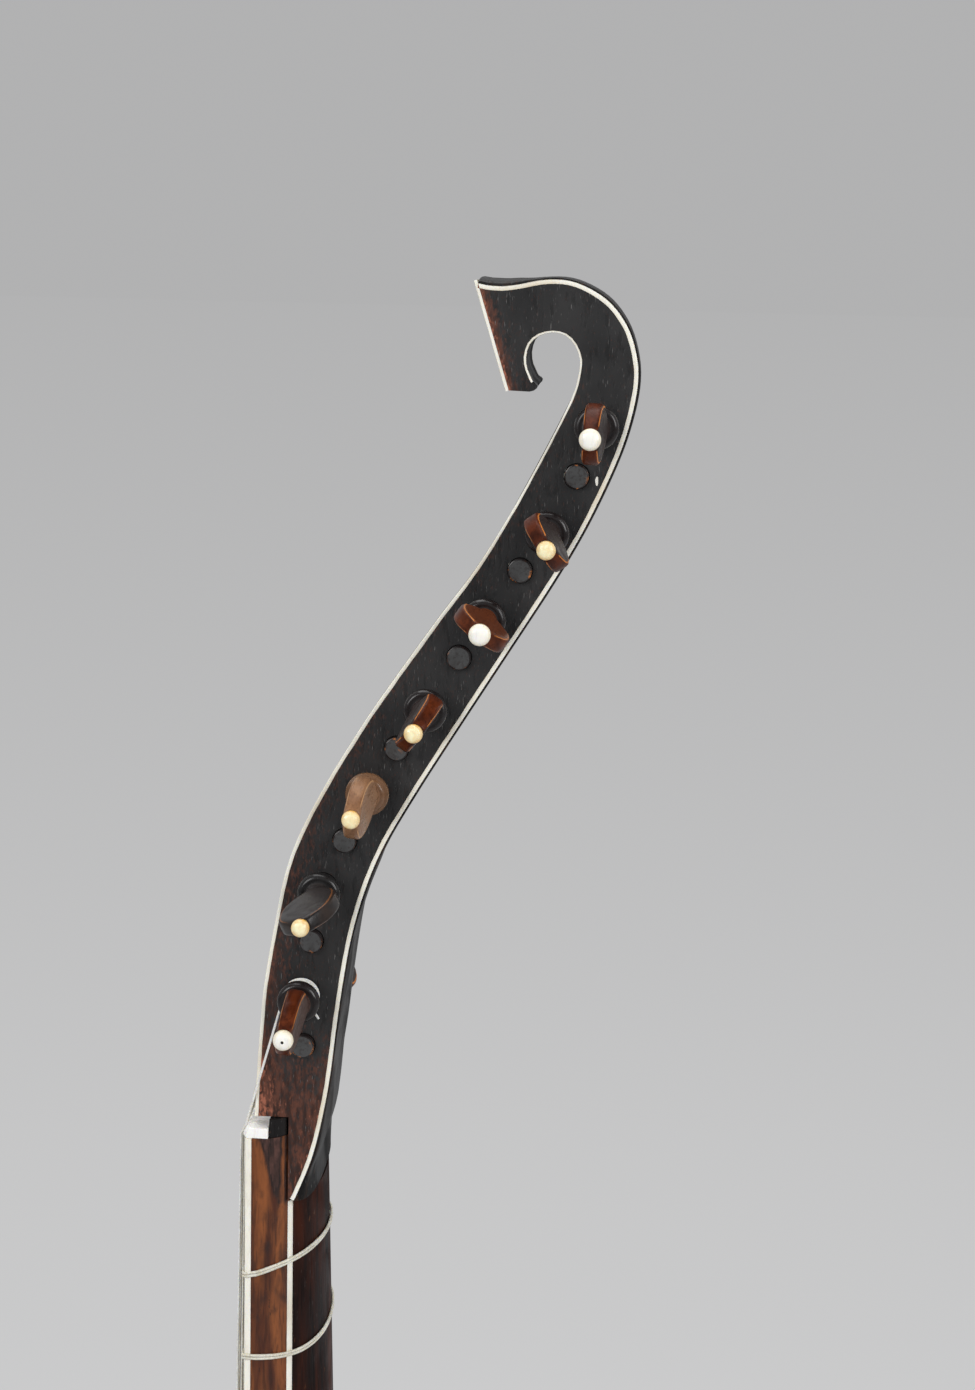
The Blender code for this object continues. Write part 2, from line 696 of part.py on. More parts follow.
def tail_point(x, sine, offset):
    """Depth and t on the tail's curved surface, moved out by offset; sine sets the depth."""
    across = x / (BODY_HALF_WIDTH + offset)
    size = math.sqrt(1.0 - across * across)
    cosine = math.sqrt(max(0.0, 1.0 - sine * sine))
    return (BOWL_DEPTH + offset) * size * sine, WIDEST_T + (TAIL_REACH + offset) * size * cosine


def tail_sine(x, depth, offset):
    """Sine of the angle at which the tail's surface at x reaches a depth."""
    across = x / (BODY_HALF_WIDTH + offset)
    return depth / ((BOWL_DEPTH + offset) * math.sqrt(1.0 - across * across))


def build_neck_block(spruce):
    """The block inside the bowl that the neck is fixed to."""
    solid = Solids()
    inset = RIB_THICKNESS + GAP
    sections = []
    for t in (GAP, 0.5 * NECK_BLOCK_LENGTH, NECK_BLOCK_LENGTH):
        half, depth = body_section(t)
        half, depth = half - inset, depth - inset
        points = []
        for index in range(BLOCK_ARC_STEPS + 1):
            angle = bowl_angle(depth, index / BLOCK_ARC_STEPS)
            points.append(body_place(half * math.cos(angle), depth * math.sin(angle), t))
        sections.append(points)
    solid.loft(sections)
    solid.build("neck_block", spruce)


def build_tail_block(spruce):
    """The block inside the tail that holds the ribs' ends and the strap button."""
    solid = Solids()
    inset = RIB_THICKNESS + GAP
    top = BODY_LENGTH - TAIL_BLOCK_HEIGHT
    sections = []
    for index in range(TAIL_BLOCK_STEPS + 1):
        x = TAIL_BLOCK_HALF_WIDTH * (2.0 * index / TAIL_BLOCK_STEPS - 1.0)
        points = [body_place(x, FACE_BACK, top)]
        for share in SKIN_SHARES:
            depth = FACE_BACK + (TAIL_BLOCK_DEPTH - FACE_BACK) * share
            d, t = tail_point(x, tail_sine(x, depth, -inset), -inset)
            points.append(body_place(x, d, t))
        points.append(body_place(x, TAIL_BLOCK_DEPTH, top))
        sections.append(points)
    solid.loft(sections)
    return solid.build("tail_block", spruce)


def build_clasp(wood):
    """A thin curved strip over the ends of the ribs, deepest at the middle of the tail."""
    solid = Solids()
    sections = []
    for index in range(CLASP_STEPS + 1):
        share = 2.0 * index / CLASP_STEPS - 1.0
        x = CLASP_HALF_LENGTH * share
        depth = CLASP_DEPTH_MIDDLE + (CLASP_DEPTH_END - CLASP_DEPTH_MIDDLE) * share * share
        points = []
        for offset, order in ((CLASP_CLEARANCE, SKIN_SHARES),
                              (CLASP_CLEARANCE + CLASP_THICKNESS, SKIN_SHARES[::-1])):
            for part in order:
                at = FACE_BACK + (depth - FACE_BACK) * part
                d, t = tail_point(x, tail_sine(x, at, offset), offset)
                points.append(body_place(x, d, t))
        sections.append(points)
    solid.loft(sections)
    return solid.build("end_clasp", wood, SMOOTH_NECK)


def turned_place(axis_x, axis_d, profile, sides):
    """Sections of a piece turned round an upright axis, from (h, radius) pairs."""
    step = 2.0 * math.pi / sides
    return [[place(axis_x + radius * math.cos(step * k), axis_d + radius * math.sin(step * k), h)
             for k in range(sides)] for h, radius in profile]


def build_button(bone, clasp, blocks):
    """The strap button's stem goes through the clasp into the tail block."""
    base = BUTTON_LENGTH - FOOT_Z
    end = -FOOT_Z
    profile = [(base + BUTTON_STEM_LENGTH, BUTTON_STEM_RADIUS), (base, BUTTON_STEM_RADIUS),
               (base, BUTTON_BASE_RADIUS)]
    profile += [(base - below, radius) for below, radius in BUTTON_NECK]
    profile += [(end + above, BUTTON_HEAD_RADIUS) for above in BUTTON_RIM]
    profile.append((end, BUTTON_HEAD_RADIUS - BUTTON_CHAMFER))
    solid = Solids()
    solid.loft(turned_place(0.0, BUTTON_DEPTH, profile, BUTTON_SIDES))
    solid.build("strap_button", bone, SMOOTH_TURNED)
    drill = Solids()
    reach = (BUTTON_STEM_RADIUS + GAP) / math.cos(math.pi / BUTTON_SIDES)
    top = base + BUTTON_STEM_LENGTH + GAP
    drill.loft(turned_place(0.0, BUTTON_DEPTH, ((top, reach), (base - 2.0 * GAP, reach)),
                            BUTTON_SIDES))
    cutter = drill.build("button_drill", bone)
    combine(clasp, cutter, "DIFFERENCE")
    combine(blocks, cutter, "DIFFERENCE")


def build_bridge(wood):
    """A low bridge with thin pointed wings; the strings are tied to its block."""
    solid = Solids()
    top = NUT_FRONT_H - STRING_LENGTH - GAP
    middle = top - 0.5 * BRIDGE_WIDTH
    outer = BRIDGE_HALF_LENGTH + BRIDGE_WING
    sections = []
    half = ((BRIDGE_HALF_LENGTH, BRIDGE_WIDTH, BRIDGE_HEIGHT),
            (BRIDGE_HALF_LENGTH + BRIDGE_SHOULDER, BRIDGE_WING_WIDTH, BRIDGE_WING_HEIGHT),
            (outer, BRIDGE_TIP_WIDTH, BRIDGE_TIP_HEIGHT))
    for x, width, height in [(-x, width, height) for x, width, height in reversed(half)] + list(half):
        low, high = middle - 0.5 * width, middle + 0.5 * width
        front = -GAP - height
        sections.append([place(x, -GAP, low), place(x, -GAP, high),
                         place(x, front, high), place(x, front, low)])
    solid.loft(sections)
    solid.build("bridge", wood)


# Pegbox

def cheek_outer(h):
    return CHEEK_HALF_WIDTH - CHEEK_LEAN * h


def cheek_inner(h):
    return cheek_outer(h) - CHEEK_THICKNESS


def head_face_line(inset):
    """The head's flat front moved back by inset, from bottom to top."""
    return shifted(HEAD_FACE, inset)


def front_line_width(h):
    return interpolate(FRONT_LINE_WIDTHS, h)


def back_line_width(h):
    return BACK_LINE_WIDTH


def cheek_outline():
    """Outline of a cheek and the offset of its rebate for the bone line at each point."""
    front = smooth_curve(FRONT_EDGE)
    back = smooth_curve(BACK_EDGE)
    face = head_face_line(PLATE_THICKNESS + GAP)
    tongue = [(SPLICE_DEPTH + GAP, SPLICE_H + GAP), (SPLICE_DEPTH + GAP, 0.0)]
    outline = front + list(HEAD_END) + face + back + tongue
    rebate = [None] * len(outline)
    start = len(front) + len(HEAD_END) + len(face)
    for run, first, width in ((front, 0, front_line_width), (back, start, back_line_width)):
        for index, normal in enumerate(normals_right(run)):
            if 0 < index < len(run) - 1:
                rebate[first + index] = (width(run[index][1]) + GAP) * normal
    return outline, rebate


def peg_list():
    """Every peg as (name, side, d, h, paddle angle); side is 1 for treble and -1 for bass."""
    pegs = []
    for side, word, axes in ((1, "treble", TREBLE_PEGS), (-1, "bass", BASS_PEGS)):
        for index, (d, h, angle) in enumerate(axes):
            pegs.append((f"{word}_{index + 1}", side, d, h, angle))
    return pegs


def shank_radius(h, x_from_face):
    """Radius of a peg's shank at a distance from the outer face of its own cheek."""
    tip = -2.0 * cheek_outer(h) - PEG_TIP_OVERHANG
    return PEG_TIP_RADIUS + PEG_TAPER * (x_from_face - tip)


def peg_holes(side):
    holes = []
    for _, peg_side, d, h, _ in peg_list():
        outer = 0.0 if peg_side == side else -2.0 * cheek_outer(h) + CHEEK_THICKNESS
        holes.append(circle(d, h, shank_radius(h, outer) + SHANK_CLEARANCE))
    return holes


def build_cheek(name, side, wood):
    """A flat cheek with the peg holes and a rebate along both edges for the bone line."""
    outline, rebate = cheek_outline()
    holes = peg_holes(side)
    loops = [outline] + holes
    narrow = [point if offset is None else tuple(np.array(point) + offset)
              for point, offset in zip(outline, rebate)]

    def layer(points, amount):
        return [place(side * (cheek_outer(h) - amount), d, h) for d, h in points]

    step = LINE_THICKNESS + GAP
    flat = [point for loop in loops for point in loop]
    flat_narrow = narrow + flat[len(outline):]
    count = len(flat)
    vertices = layer(flat, CHEEK_THICKNESS) + layer(flat, step)
    vertices += layer(flat_narrow, step) + layer(flat_narrow, 0.0)
    faces = []
    inner = tessellate_polygon([[(d, h, 0.0) for d, h in loop] for loop in loops])
    outer = tessellate_polygon([[(d, h, 0.0) for d, h in loop] for loop in [narrow] + holes])
    faces += [tuple(reversed(triangle)) for triangle in inner]
    faces += [tuple(3 * count + index for index in triangle) for triangle in outer]
    start = 0
    for loop in loops:
        for index in range(len(loop)):
            one = start + index
            two = start + (index + 1) % len(loop)
            for level in range(3):
                low, high = level * count, (level + 1) * count
                faces.append((low + one, low + two, high + two, high + one))
        start += len(loop)
    return add_mesh(name, vertices, faces, wood)


def back_wall(h, d):
    """Thickness of the pegbox's back inside the cheeks, solid at the foot and thin at the head."""
    if h > CAVITY_TOP_H + HEAD_START:
        return -HEAD_LAP
    if h < CAVITY_FOOT_H:
        return max(d - SPLICE_DEPTH - GAP, BACK_WALL_FOOT)
    return BACK_WALL


def build_pegbox_back(wood):
    """The crowned back, lapped over both cheeks and let in between them."""
    solid = Solids()
    curve = smooth_curve(BACK_EDGE)
    sections = []
    for (d, h), inward in zip(curve, normals_right(curve)):
        normal = -inward
        wall = back_wall(h, d)
        crown = interpolate(BACK_CROWNS, h)
        outer = cheek_outer(h)
        inner = cheek_inner(h) - GAP
        if h < CAVITY_FOOT_H:
            normal = np.array((1.0, 0.0))
        points = []
        for x, out in ((-outer, GAP), (-inner, GAP), (-inner, -wall), (inner, -wall),
                       (inner, GAP), (outer, GAP)):
            points.append((x, out))
        for index in range(BACK_ARC_STEPS + 1):
            angle = math.pi * index / BACK_ARC_STEPS
            across = math.copysign(abs(math.cos(angle)) ** BACK_ROUND, math.cos(angle))
            rise = GAP + BACK_LIP + (crown - GAP - BACK_LIP) * math.sin(angle) ** BACK_ROUND
            points.append((outer * across, rise))
        place_all = []
        for x, out in points:
            at = np.array((d, h)) + out * normal
            place_all.append(place(x, float(at[0]), float(at[1])))
        sections.append(place_all)
    solid.loft(sections)
    solid.build("pegbox_back", wood, SMOOTH_TURNED)


def build_head_block(wood):
    """The solid block of the scrolled head, between the two cheeks."""
    front = smooth_curve(FRONT_EDGE)
    first = next(index for index, point in enumerate(front) if point[1] > HEAD_BLOCK_H)
    back = [point for point in smooth_curve(BACK_EDGE) if point[1] > HEAD_BLOCK_H]
    face = head_face_line(PLATE_THICKNESS + GAP)
    outline = shifted(front[first:] + list(HEAD_END) + face + back, HEAD_INSET)
    solid = Solids()
    solid.plate(outline, [], lambda d, h: place(cheek_inner(h) - GAP, d, h),
                lambda d, h: place(GAP - cheek_inner(h), d, h))
    solid.build("head_block", wood)


def build_head_plate(bone):
    """The bone plate on the head's flat front."""
    solid = Solids()
    sections = []
    for (d, h), (inner_d, inner_h) in zip(HEAD_FACE, head_face_line(PLATE_THICKNESS)):
        half = cheek_outer(h)
        sections.append([place(-half, d, h), place(half, d, h),
                         place(half, inner_d, inner_h), place(-half, inner_d, inner_h)])
    solid.loft(sections)
    solid.build("head_plate", bone)


def build_edge_lines(bone):
    """Bone strips in the rebates along the front and back edges of each cheek."""
    for side, word in ((1, "treble"), (-1, "bass")):
        for name, edge, width in (("front", FRONT_EDGE, front_line_width),
                                  ("back", BACK_EDGE, back_line_width)):
            curve = smooth_curve(edge)
            solid = Solids()
            sections = []
            for one, normal in list(zip(curve, normals_right(curve)))[1:-1]:
                two = tuple(np.array(one) + width(one[1]) * normal)
                sections.append([
                    place(side * cheek_outer(one[1]), *one),
                    place(side * cheek_outer(two[1]), *two),
                    place(side * (cheek_outer(two[1]) - LINE_THICKNESS), *two),
                    place(side * (cheek_outer(one[1]) - LINE_THICKNESS), *one),
                ])
            solid.loft(sections)
            solid.build(f"{name}_line_{word}", bone)


# Pegs and strings

def peg_profile(h):
    """Stations of a peg from tip to pip, as (x, half width, half thickness, share of lean)."""
    tip = -2.0 * cheek_outer(h) - PEG_TIP_OVERHANG
    stations = [(x, shank_radius(h, x), shank_radius(h, x), 0.0) for x in (tip, 0.0, COLLAR_START)]
    collar = COLLAR_START + COLLAR_LENGTH
    for x, share in ((COLLAR_START, 1.0), (collar, COLLAR_DRAW)):
        stations.append((x, share * COLLAR_RADIUS, share * COLLAR_RADIUS, 0.0))
    for along, wide, thick in PADDLE_SHAPE:
        stations.append((collar + along * PADDLE_LENGTH, wide * PADDLE_HALF_WIDTH,
                         thick * PADDLE_HALF_THICKNESS, along))
    end = collar + PADDLE_LENGTH
    for along, share in PIP_SHAPE:
        stations.append((end + along * PIP_LENGTH, share * PIP_RADIUS, share * PIP_RADIUS, 1.0))
    return stations


def build_pegs(wood):
    """Tapered pegs, each with its own axis as its local X and its blade along local Y."""
    step = 2.0 * math.pi / ROUND_SIDES
    leans = TREBLE_LEANS + ((0.0, 0.0),) * len(BASS_PEGS)
    for (name, side, d, h, angle), (along, across) in zip(peg_list(), leans):
        sections = []
        for x, wide, thick, share in peg_profile(h):
            sections.append([(x * MM, (share * along + wide * math.cos(step * k)) * MM,
                              (share * across + thick * math.sin(step * k)) * MM)
                             for k in range(ROUND_SIDES)])
        solid = Solids()
        solid.loft(sections)
        peg = solid.build(f"peg_{name}", wood, SMOOTH_TURNED)
        peg.location = place(side * cheek_outer(h), d, h)
        turn = math.radians(angle)
        peg.rotation_euler = (turn, 0.0, 0.0) if side > 0 else (-turn, 0.0, math.pi)


def string_list():
    """Each string as (nut x, bridge x, peg axis d, peg axis h, winding x, winding direction)."""
    strings = []
    for index in range(2 * COURSE_COUNT):
        course, second = divmod(index, 2)
        nut_x = FIRST_STRING_X - COURSE_PITCH * course - PAIR_SPACING * second
        middle = 0.5 * (COURSE_COUNT - 1) - course
        bridge_x = BRIDGE_COURSE_PITCH * middle + BRIDGE_PAIR_SPACING * (0.5 - second)
        if index < COURSE_COUNT:
            d, h, _ = TREBLE_PEGS[index]
            strings.append((nut_x, bridge_x, d, h, TREBLE_WINDING_X[index], 1))
        else:
            number = 2 * COURSE_COUNT - 1 - index
            d, h, _ = BASS_PEGS[number]
            strings.append((nut_x, bridge_x, d, h, BASS_WINDING_X[number], -1))
    return strings


def string_circle(d, h, points):
    """Places where a string's centre may pass a peg's shank, clear of it on every chord."""
    return circle(d, h, shank_radius(h, 0.0) + GAP + STRING_RADIUS, points)


def taut_route(d, h, points):
    """Tight path from the nut to the front of a peg, past the shanks of the pegs below it."""
    target = string_circle(d, h, points)
    others = [point for _, _, peg_d, peg_h, _ in peg_list() if peg_h < h
              for point in string_circle(peg_d, peg_h, points)]
    route = [(NUT_FALL - STRING_PROUD_NUT, NUT_FRONT_H + NUT_THICKNESS)]
    while route[-1] not in target:
        here_d, here_h = route[-1]
        above = [point for point in others + target if point[1] > here_h]
        route.append(max(above, key=lambda point: math.atan2(point[1] - here_h,
                                                             point[0] - here_d)))
    return route


def string_route(nut_x, bridge_x, d, h, winding_x, direction, points, turns):
    """Whole route of one string, from the bridge over the nut and round its peg."""
    flat = taut_route(d, h, points)
    half_width = 0.5 * WINDING_PITCH * turns
    start_x = winding_x - direction * half_width
    lengths = [0.0]
    for one, two in zip(flat, flat[1:]):
        lengths.append(lengths[-1] + math.dist(one, two))
    route = [place(bridge_x, -STRING_PROUD_BRIDGE, NUT_FRONT_H - STRING_LENGTH),
             place(nut_x, -STRING_PROUD_NUT, NUT_FRONT_H)]
    for (at_d, at_h), length in zip(flat, lengths):
        route.append(place(nut_x + (start_x - nut_x) * length / lengths[-1], at_d, at_h))
    last_d, last_h = flat[-1]
    reach = math.dist(flat[-1], (d, h))
    first = math.atan2(last_h - h, last_d - d)
    coil = []
    for index in range(round(turns * points) + 1):
        angle = first - 2.0 * math.pi * index / points
        x = start_x + direction * WINDING_PITCH * index / points
        coil.append(place(x, d + reach * math.cos(angle), h + reach * math.sin(angle)))
    return route + coil[1:], coil


def least_gap(coil, points):
    """Least air in millimetres between two stretches of a coil at least half a turn apart."""
    spots = np.array(coil) / MM
    least = math.inf
    for index in range(len(spots) - points // 2):
        away = np.linalg.norm(spots[index + points // 2:] - spots[index], axis=1)
        least = min(least, float(away.min()))
    return least - 2.0 * STRING_RADIUS


def build_strings(gut):
    """Fourteen strings; the first is wound outside its cheek and the others inside."""
    for number, (nut_x, bridge_x, d, h, winding_x, direction) in enumerate(string_list(), 1):
        outside = number == 1
        points = POINTS_PER_TURN if outside else POINTS_PER_HIDDEN_TURN
        turns = WINDING_TURNS if outside else HIDDEN_TURNS
        inward = -direction if outside else direction
        route, coil = string_route(nut_x, bridge_x, d, h, winding_x, inward, points, turns)
        add_tube(f"string_{number}", route, STRING_RADIUS, gut, 1)
        print(f"string_{number}: least gap of the winding to itself {least_gap(coil, points):.2f} mm")


def main():
    clear_scene()
    ebony = make_material("ebony", (0.035, 0.030, 0.028), 0.42)
    walnut = make_material("neck_wood", (0.20, 0.075, 0.030), 0.45)
    rosewood = make_material("rib_wood", (0.12, 0.035, 0.015), 0.35)
    plum = make_material("peg_wood", (0.10, 0.022, 0.010), 0.22)
    spruce = make_material("spruce", (0.55, 0.34, 0.14), 0.6)
    bone = make_material("bone", (0.80, 0.77, 0.66), 0.4)
    gut = make_material("gut", (0.62, 0.56, 0.42), 0.5)
    build_neck(walnut)
    build_neck_lines(bone)
    build_fingerboard(ebony)
    build_nut(bone)
    build_frets(gut)
    build_bowl(rosewood)
    build_soundboard(spruce)
    build_rose(spruce)
    build_neck_block(spruce)
    build_button(bone, build_clasp(ebony), build_tail_block(spruce))
    build_bridge(ebony)
    build_cheek("cheek_treble", 1, ebony)
    build_cheek("cheek_bass", -1, ebony)
    build_edge_lines(bone)
    build_pegbox_back(ebony)
    build_head_block(ebony)
    build_head_plate(bone)
    build_pegs(plum)
    build_strings(gut)


main()
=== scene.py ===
"""Looks of a mandola: sickle-shaped pegbox, turned pegs, inlaid neck, ribbed bowl and soundboard.

Places are given in millimetres across the instrument (x), in depth behind the playing face (d)
and in height above the foot of the pegbox (h), and turned into the frame's metres by Layout.
"""

import json
import logging
import math
from collections.abc import Callable
from dataclasses import dataclass, field
from enum import Enum

import bmesh
import bpy
import numpy as np
from mathutils import Matrix, Vector
from mathutils.geometry import delaunay_2d_cdt


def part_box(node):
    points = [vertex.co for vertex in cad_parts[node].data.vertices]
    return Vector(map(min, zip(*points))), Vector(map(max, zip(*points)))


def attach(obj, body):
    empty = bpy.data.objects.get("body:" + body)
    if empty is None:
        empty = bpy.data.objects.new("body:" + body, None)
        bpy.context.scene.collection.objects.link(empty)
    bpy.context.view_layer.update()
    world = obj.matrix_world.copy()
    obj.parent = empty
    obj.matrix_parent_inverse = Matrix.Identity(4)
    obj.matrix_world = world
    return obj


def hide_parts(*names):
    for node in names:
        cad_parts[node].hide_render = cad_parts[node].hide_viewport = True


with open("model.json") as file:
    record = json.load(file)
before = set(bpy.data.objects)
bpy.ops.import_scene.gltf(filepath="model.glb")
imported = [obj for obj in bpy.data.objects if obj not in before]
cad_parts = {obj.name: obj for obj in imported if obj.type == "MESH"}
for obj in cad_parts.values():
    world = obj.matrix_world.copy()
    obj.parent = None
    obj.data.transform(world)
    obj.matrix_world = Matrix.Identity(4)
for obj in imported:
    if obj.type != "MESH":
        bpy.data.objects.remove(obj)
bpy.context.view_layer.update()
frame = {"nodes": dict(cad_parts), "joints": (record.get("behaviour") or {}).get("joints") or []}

MM = 0.001
ROOT = "instrument"
NUT_FRONT_H = -5.0
NUT_THICKNESS = 2.7
NUT_FALL = 1.2
STRING_LENGTH = 550.0
SPLICE_DEPTH = 10.2
SPLICE_H = -22.6
GAP = 0.3
PLAY = 0.02
JOIN = 2e-6
FINE_JOIN = 1e-7

Point = tuple[float, float, float]
Pair = tuple[float, float]
Line = list[Pair]
Put = Callable[[float, float], Point]
Tree = bpy.types.NodeTree
Material = bpy.types.Material
Source = bpy.types.Node | bpy.types.NodeSocket | float | bool | tuple[float, ...]

log = logging.getLogger("mandola")


@dataclass(frozen=True)
class Layout:
    """Where the instrument's own measures lie in the frame."""

    face_y: float
    foot_z: float

    @classmethod
    def from_frame(cls) -> "Layout":
        """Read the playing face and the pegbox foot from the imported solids."""
        return cls(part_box("soundboard")[0][1] / MM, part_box("nut")[0][2] / MM - NUT_FRONT_H)

    def place(self, x: float, d: float, h: float) -> Point:
        """World position in metres of a point across, in depth and in height."""
        return (x * MM, (d + self.face_y) * MM, (h + self.foot_z) * MM)


LAYOUT = Layout.from_frame()
place = LAYOUT.place


def level(section: Line, h: float) -> list[Point]:
    """Places of a section's (x, d) points at a height."""
    return [place(x, d, h) for x, d in section]


def slice_at(x: float, profile: Line) -> list[Point]:
    """Places of a profile's (d, h) points at a distance across."""
    return [place(x, d, h) for d, h in profile]


# Curves in the plane of a cheek

def clamp(value: float, low: float = 0.0) -> float:
    """A value held between low and 1."""
    return min(1.0, max(low, value))


def smooth(points: Line, step: float = 1.6) -> Line:
    """A smooth curve through points.

    Args:
        points: places that the curve passes, as (d, h).
        step: wanted spacing in millimetres.

    Returns:
        The samples, with both ends kept.
    """
    ends = [points[0], *points, points[-1]]
    result: Line = []
    for index in range(1, len(ends) - 2):
        p0, p1, p2, p3 = (np.array(point, dtype=float) for point in ends[index - 1:index + 3])
        pieces = max(1, round(float(np.linalg.norm(p2 - p1)) / step))
        for piece in range(pieces):
            s = piece / pieces
            at = 0.5 * (2 * p1 + (p2 - p0) * s + (2 * p0 - 5 * p1 + 4 * p2 - p3) * s ** 2
                        + (3 * p1 - p0 - 3 * p2 + p3) * s ** 3)
            result.append((float(at[0]), float(at[1])))
    return [*result, points[-1]]


def right_normals(points: Line) -> list[np.ndarray]:
    """Unit normals to the right of a polyline.

    Args:
        points: the polyline.

    Returns:
        One normal for each point.
    """
    runs = np.gradient(np.array(points, dtype=float), axis=0)
    runs /= np.linalg.norm(runs, axis=1)[:, None]
    return [np.array((run[1], -run[0])) for run in runs]


def interp(table: Line, value: float) -> float:
    """Value of a table of (place, amount) pairs, held at its ends."""
    return float(np.interp(value, *zip(*table)))


def moved(points: Line, amount: float | Line, extra: float = 0.0) -> Line:
    """A polyline moved to its right.

    Args:
        points: the polyline.
        amount: how far, or a table of how far by height.
        extra: what is added to every amount.

    Returns:
        The moved polyline.
    """
    steps = [interp(amount, h) if isinstance(amount, list) else amount for _, h in points]
    return [(float(d + (step + extra) * n[0]), float(h + (step + extra) * n[1]))
            for (d, h), n, step in zip(points, right_normals(points), steps)]


def ring(u: float, v: float, radius: float, sides: int = 40) -> Line:
    """A round loop about (u, v)."""
    turns = [2 * math.pi * k / sides for k in range(sides)]
    return [(u + radius * math.cos(turn), v + radius * math.sin(turn)) for turn in turns]


def around(radius: float, count: int, offset: float = 0.5) -> Line:
    """Points spread evenly on a circle about the origin, turned by a share of their spacing."""
    turns = [2 * math.pi * (k + offset) / count for k in range(count)]
    return [(radius * math.cos(turn), radius * math.sin(turn)) for turn in turns]


def inside(point: Pair, loop: Line) -> bool:
    """Whether a point lies inside a closed loop.

    Args:
        point: the point.
        loop: the loop.

    Returns:
        True inside and False outside.
    """
    found = False
    for one, two in zip(loop, loop[1:] + loop[:1]):
        if (one[1] > point[1]) != (two[1] > point[1]):
            cross = one[0] + (two[0] - one[0]) * (point[1] - one[1]) / (two[1] - one[1])
            found ^= point[0] < cross
    return found


def triangulate(outline: Line, holes: list[Line], pitch: float = 0.0
                ) -> tuple[Line, list[tuple[int, ...]]]:
    """Fill an outline round its holes with triangles.

    Args:
        outline: closed outer loop.
        holes: closed inner loops.
        pitch: spacing of extra points inside, or 0 for none.

    Returns:
        The points and the triangles.
    """
    points: list[Vector] = []
    edges = []
    for loop in (outline, *holes):
        start, count = len(points), len(loop)
        edges += [(start + k, start + (k + 1) % count) for k in range(count)]
        points += [Vector(point) for point in loop]
    if pitch > 0.0:
        bounds = np.array(outline)
        lows, highs = bounds.min(axis=0), bounds.max(axis=0)
        edge_points = np.array(points)
        for row, v in enumerate(np.arange(lows[1], highs[1], pitch * 0.87)):
            for u in np.arange(lows[0] + (row % 2) * pitch * 0.5, highs[0], pitch):
                near = np.min(np.linalg.norm(edge_points - (u, v), axis=1))
                if near > 0.5 * pitch and inside((u, v), outline):
                    points.append(Vector((float(u), float(v))))
    made, _, faces, _, _, _ = delaunay_2d_cdt(points, edges, [], 0, 1e-7)
    flat = [(point.x, point.y) for point in made]
    kept = []
    for face in faces:
        middle = tuple(sum(flat[k][axis] for k in face) / len(face) for axis in (0, 1))
        if inside(middle, outline) and not any(inside(middle, hole) for hole in holes):
            kept.append(tuple(face))
    return flat, kept


# Pieces

def clean(mesh: bpy.types.Mesh, apart: float) -> None:
    """Join points closer than a distance, turn the faces outward and shade them smooth.

    Args:
        mesh: the mesh.
        apart: the distance in metres.
    """
    work = bmesh.new()
    work.from_mesh(mesh)
    bmesh.ops.remove_doubles(work, verts=work.verts, dist=apart)
    bmesh.ops.recalc_face_normals(work, faces=work.faces)
    work.to_mesh(mesh)
    work.free()
    mesh.shade_smooth()


def show(name: str, data: bpy.types.ID) -> bpy.types.Object:
    """Put a new object in the scene.

    Args:
        name: its name.
        data: its mesh, lamp or camera.

    Returns:
        The object.
    """
    made = bpy.data.objects.new(name, data)
    bpy.context.scene.collection.objects.link(made)
    return made


def settle(piece: bpy.types.Object, body: str, node: str) -> None:
    """Fix a finished piece to its body and hide the solid that it stands for.

    Args:
        piece: the object.
        body: name of the body that it rides on.
        node: solid that it replaces.
    """
    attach(piece, body)
    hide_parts(node)
    log.info("%s: %d faces on %s", piece.name, len(piece.data.polygons), body)


